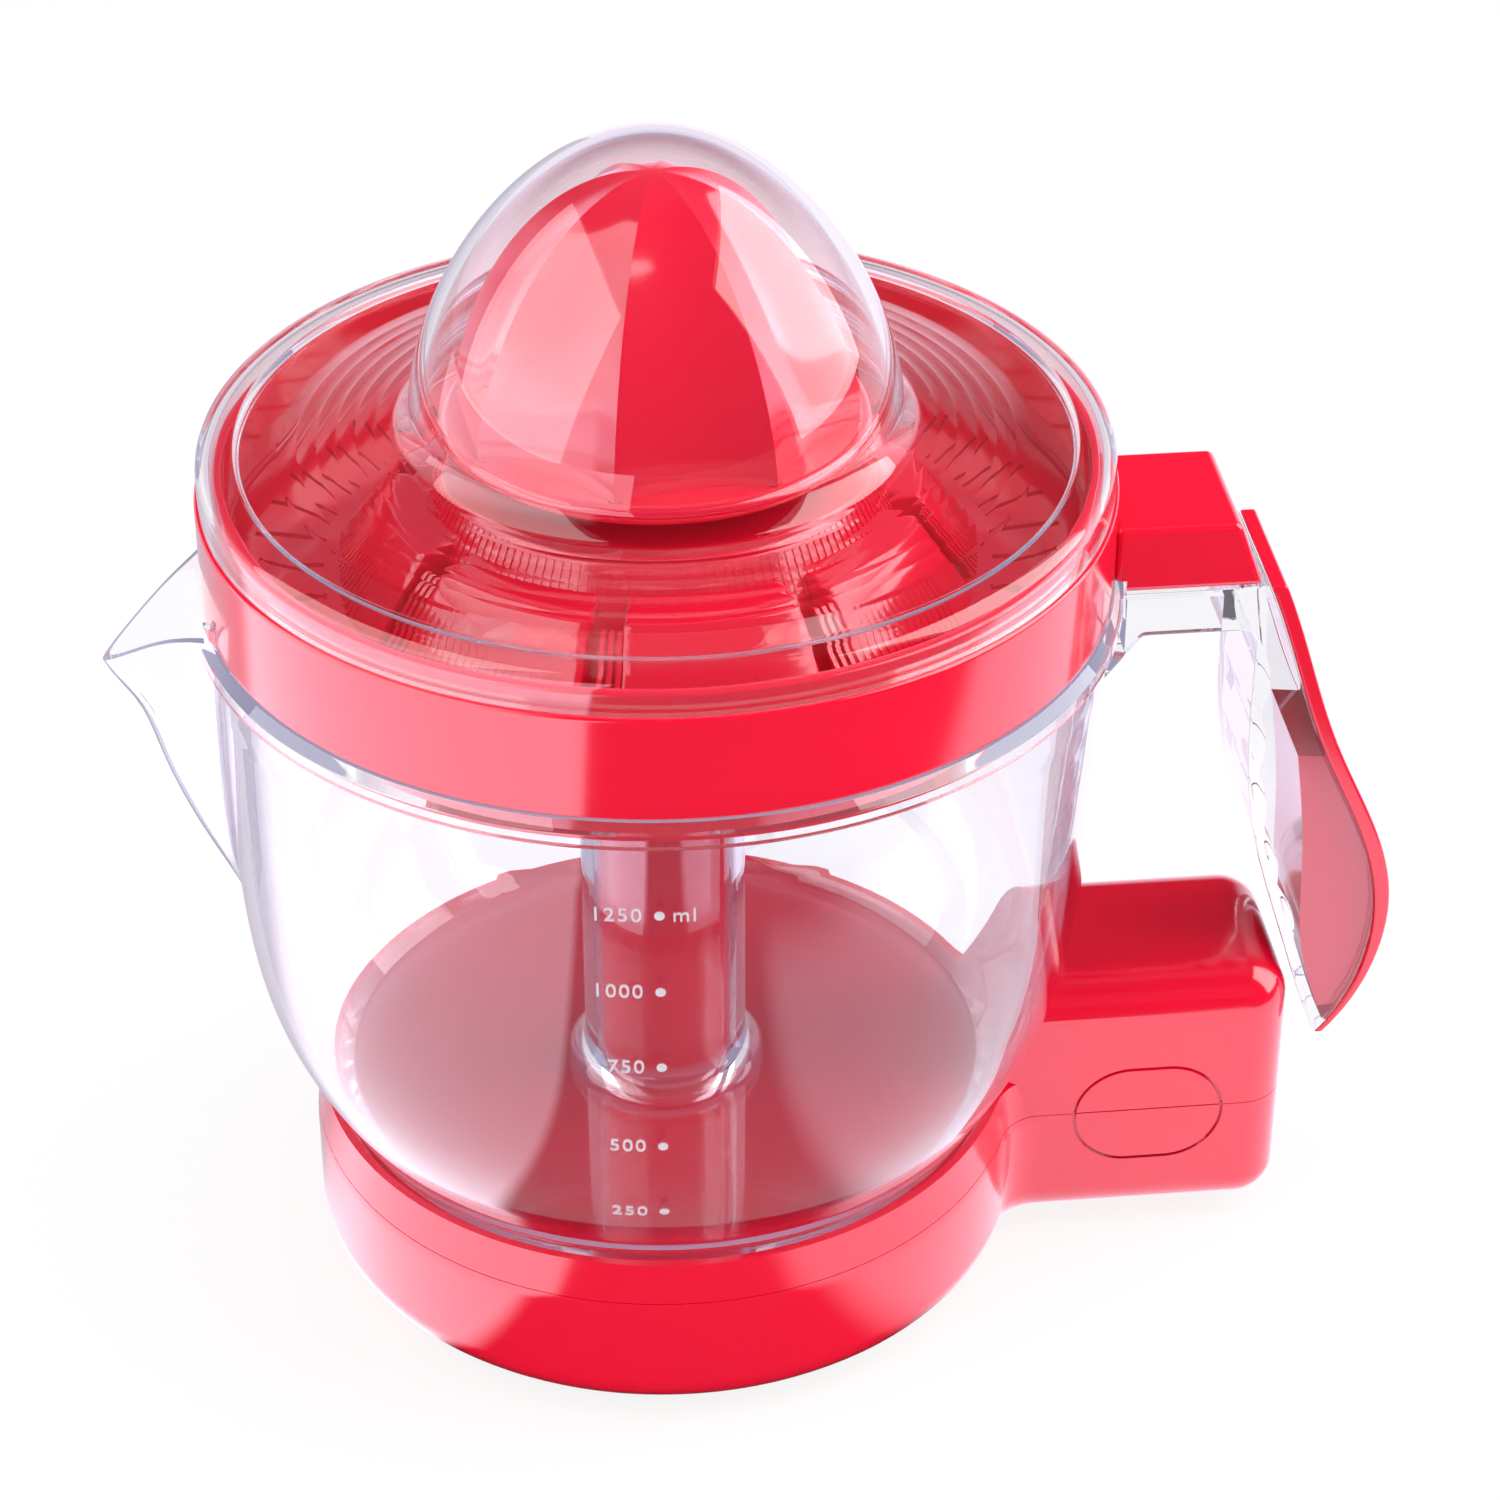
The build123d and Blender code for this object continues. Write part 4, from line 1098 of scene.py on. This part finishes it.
scaleMarks = {
    "levels": [("1250", 118.4), ("1000", 103.0), ("750", 87.3), ("500", 69.9), ("250", 52.4)],
    "unit": "ml",
    "dotAngle": -95.0,
    "dotR": 0.85,
    "dotRound": 0.12,
    "capHeight": 2.6,
    "capShare": 0.7,
    "spacing": 1.15,
    "numberGap": 2.75,
    "unitGap": 2.0,
    "proud": 0.3,
    "sunk": 0.05,
}


def onWall(piece, z, shift):
    # bends a flat mark round the wall, centred on the scale's line
    for vertex in piece.data.vertices:
        across, up, out = vertex.co / mm
        height = z + up
        radius = wallR(height)
        angle = math.radians(scaleMarks["dotAngle"]) + (across + shift) / radius
        radius += out - scaleMarks["sunk"]
        vertex.co = Vector((radius * math.cos(angle), radius * math.sin(angle), height)) * mm


def makeLettering(words, z, shift, alignment):
    deselectAll()
    bpy.ops.object.text_add(location=(0, 0, 0))
    text = bpy.context.object
    text.data.body = words
    text.data.align_x = alignment
    text.data.align_y = "CENTER"
    text.data.size = scaleMarks["capHeight"] / scaleMarks["capShare"] * mm
    text.data.space_character = scaleMarks["spacing"]
    text.data.extrude = scaleMarks["proud"] / 2 * mm
    bpy.ops.object.convert(target="MESH")
    mark = bpy.context.object
    mark.data.transform(Matrix.Translation((0, 0, scaleMarks["proud"] / 2 * mm)))
    onWall(mark, z, shift)
    return mark


def makeDot(z):
    deselectAll()
    radius, depth = scaleMarks["dotR"] * mm, scaleMarks["proud"] * mm
    bpy.ops.mesh.primitive_cylinder_add(vertices=20, radius=radius, depth=depth)
    dot = bpy.context.object
    dot.data.transform(Matrix.Translation((0, 0, scaleMarks["proud"] / 2 * mm)))
    softenEdges(dot, scaleMarks["dotRound"], 2)
    onWall(dot, z, 0)
    return dot


def makeScale():
    marks = []
    for number, z in scaleMarks["levels"]:
        marks.append(makeDot(z))
        marks.append(makeLettering(number, z, -scaleMarks["numberGap"], "RIGHT"))
    topZ = scaleMarks["levels"][0][1]
    marks.append(makeLettering(scaleMarks["unit"], topZ, scaleMarks["unitGap"], "LEFT"))
    join(marks[0], marks[1:])
    marks[0].name = "scaleMarks"
    cleanMesh(marks[0])
    smooth(marks[0], 30)
    return marks[0]


place(makeScale(), "jug", frosted)


# base shells

ovalShape = {
    "middle": (87.2, 26.0),
    "length": 28.0,
    "height": 21.0,
    "groove": 0.55,
    "face": -19.28,
    "depth": 1.5,
    "edgeRound": 0.2,
    "steps": 48,
}


def makeOval(shape, low, high):
    # plain panel in the front of the motor box, cut off at the seam
    x, z = shape["middle"]
    radius = shape["height"] / 2 - shape["groove"]
    straight = (shape["length"] - shape["height"]) / 2
    outline = []
    for step in range(shape["steps"]):
        turn = 2 * math.pi * (step + 0.5) / shape["steps"]
        shift = math.copysign(straight, math.cos(turn))
        height = min(max(z + radius * math.sin(turn), low), high)
        outline.append((x + shift + radius * math.cos(turn), height))
    panel = plate("ovalPanel", outline, shape["depth"] / 2)
    editAll(panel)
    bpy.ops.transform.translate(value=(0, (shape["face"] + shape["depth"] / 2) * mm, 0))
    bpy.ops.object.mode_set(mode="OBJECT")
    softenEdges(panel, shape["edgeRound"], 2)
    return panel


shells = {
    "upperShell": {"node": "base_upper_shell", "panelZ": (27.0, 40.0)},
    "lowerShell": {"node": "base_lower_shell", "panelZ": (0.0, 26.85)},
}
for name, half in shells.items():
    shell = copyNode(half["node"], name)
    join(shell, [makeOval(ovalShape, *half["panelZ"])])
    evenShading(shell, 30)
    place(shell, "base", red, [half["node"]])


# floor, light and camera

view = {
    "target": (15.5, -1.6, 99.2),
    "azimuth": -6.0,
    "elevation": 33.28,
    "distance": 701.1,
    "lens": 95.6,
    "sensor": 36,
}
studio = {
    "floorR": 6.0,
    "floorColour": (0.9, 0.9, 0.91, 1),
    "floorWhite": 0.85,
    "mirrorTint": (0.96, 0.86, 1.0, 1),
    "ambient": 0.32,
    "dim": 0.02,
    "dimInGlass": 0.15,
    "floorShine": 2.1,
    "nearShine": 1.25,
    "backShine": 0.65,
    "skyShine": 1.0,
    "leftEdge": ((0.9704, -0.2414), -0.0349, 0.004),
    "rightEdge": ((0.9957, 0.0926), 0.0441, 0.012),
    "farEdge": ((0.3513, -0.9363), 0.2021, 0.02),
    "frontLeft": ((-0.5225, -0.8526), 0.0375, 0.02),
    "frontRight": ((0.3338, -0.9425), 0.0375, 0.02),
    "leftSky": ((0.9525, -0.3032), -0.25, 0.05),
    "backSky": ((0.1884, -0.982), 0.0, 0.1),
    "overhead": (0.1, 0.4),
    "overheadLoss": 0.96,
    "lightAim": (0, 0, 0.1),
    "bounces": 14,
}
lights = {
    "leftBox": {"place": (-0.87, -0.2, 0.62), "size": (1.35, 1.15), "power": 9.0, "mirrored": True},
    "rightBox": {"place": (0.86, -0.06, 0.6), "size": (1.0, 1.1), "power": 10.5, "mirrored": True},
    "topBox": {"place": (0.1, 0.1, 1.1), "size": (0.9, 0.6), "power": 6.0, "mirrored": False},
    "frontBox": {"place": (0.15, -0.95, 0.6), "size": (0.8, 0.6), "power": 3.0, "mirrored": False},
}


def sideOf(finish, spot, edge):
    # 1 on the far side of a straight edge on the floor or in the sky
    (alongX, alongY), start, soft = edge
    parts = finish.node("ShaderNodeSeparateXYZ", None, {0: spot})
    across = parts * alongX + Value(finish, parts.socket.node.outputs[1]) * alongY
    return finish.rise(across, start - soft, start + soft)


def makeFloor():
    deselectAll()
    bpy.ops.mesh.primitive_circle_add(vertices=96, radius=studio["floorR"], fill_type="NGON")
    floor = bpy.context.object
    floor.name = "floor"
    material, finish = newFinish("paleFloor")
    spot = finish.node("ShaderNodeTexCoord", output="Object")
    nearRight = sideOf(finish, spot, studio["rightEdge"]) * (1 - sideOf(finish, spot, studio["farEdge"]))
    unlit = sideOf(finish, spot, studio["leftEdge"]) * (1 - nearRight)
    front = sideOf(finish, spot, studio["frontLeft"]).orMore(sideOf(finish, spot, studio["frontRight"]))
    seen, mirrored = finish.lookingRays(2)
    shine = studio["backShine"] + (studio["floorShine"] - studio["backShine"]) * front
    shine = shine + (studio["nearShine"] - shine) * nearRight
    shine = mirrored * (shine - (shine - finish.darkest()) * unlit) + (1 - mirrored)
    plain = finish.node("ShaderNodeBsdfDiffuse", None, {"Color": studio["floorColour"]})
    tint = finish.mix(mirrored, (1, 1, 1, 1), studio["mirrorTint"])
    white = finish.node("ShaderNodeEmission", None, {"Color": tint, "Strength": shine})
    finish.surface(finish.mixShaders((seen * studio["floorWhite"]).orMore(mirrored), plain, white))
    floor.data.materials.append(material)


def makeWorld():
    world = bpy.data.worlds.new("studio")
    bpy.context.scene.world = world
    finish = Finish(world)
    direction = finish.node("ShaderNodeTexCoord", output="Generated")
    unlit = sideOf(finish, direction, studio["leftSky"])
    height = finish.node("ShaderNodeSeparateXYZ", None, {0: direction}, 2)
    overhead = finish.rise(height, *studio["overhead"])
    behind = 1 - sideOf(finish, direction, studio["backSky"])
    lit = ((1 - unlit) * (1 - overhead)).orMore(behind * (1 - studio["overheadLoss"] * overhead))
    seen, mirrored = finish.lookingRays(0)
    low = finish.darkest()
    strength = mirrored * (low + (studio["skyShine"] - low) * lit)
    strength = strength + seen + (1 - mirrored.orMore(seen)) * studio["ambient"]
    tint = finish.mix(mirrored, (1, 1, 1, 1), studio["mirrorTint"])
    sky = finish.node("ShaderNodeBackground", None, {"Color": tint, "Strength": strength.upTo(1.0)})
    finish.surface(sky, "ShaderNodeOutputWorld")


def makeLights():
    for name, light in lights.items():
        lamp = bpy.data.lights.new(name, "AREA")
        lamp.shape = "RECTANGLE"
        lamp.size, lamp.size_y = light["size"]
        lamp.energy = light["power"]
        holder = bpy.data.objects.new(name, lamp)
        bpy.context.scene.collection.objects.link(holder)
        holder.location = light["place"]
        holder.visible_glossy = light["mirrored"]
        holder.visible_transmission = light["mirrored"]
        aim = Vector(studio["lightAim"]) - holder.location
        holder.rotation_euler = aim.to_track_quat("-Z", "Y").to_euler()


def makeCamera():
    camera = bpy.data.cameras.new("camera")
    camera.lens = view["lens"]
    camera.sensor_width = view["sensor"]
    holder = bpy.data.objects.new("camera", camera)
    bpy.context.scene.collection.objects.link(holder)
    turn, rise = math.radians(view["azimuth"]), math.radians(view["elevation"])
    back = Vector((math.sin(turn) * math.cos(rise), -math.cos(turn) * math.cos(rise), math.sin(rise)))
    holder.location = (Vector(view["target"]) + back * view["distance"]) * mm
    holder.rotation_euler = (-back).to_track_quat("-Z", "Y").to_euler()
    bpy.context.scene.camera = holder


makeFloor()
makeWorld()
makeLights()
makeCamera()
bpy.context.scene.view_settings.view_transform = "Standard"
bpy.context.scene.cycles.max_bounces = studio["bounces"]
bpy.context.scene.cycles.transmission_bounces = studio["bounces"]
bpy.context.scene.cycles.glossy_bounces = studio["bounces"]
print("stage, light and camera set")
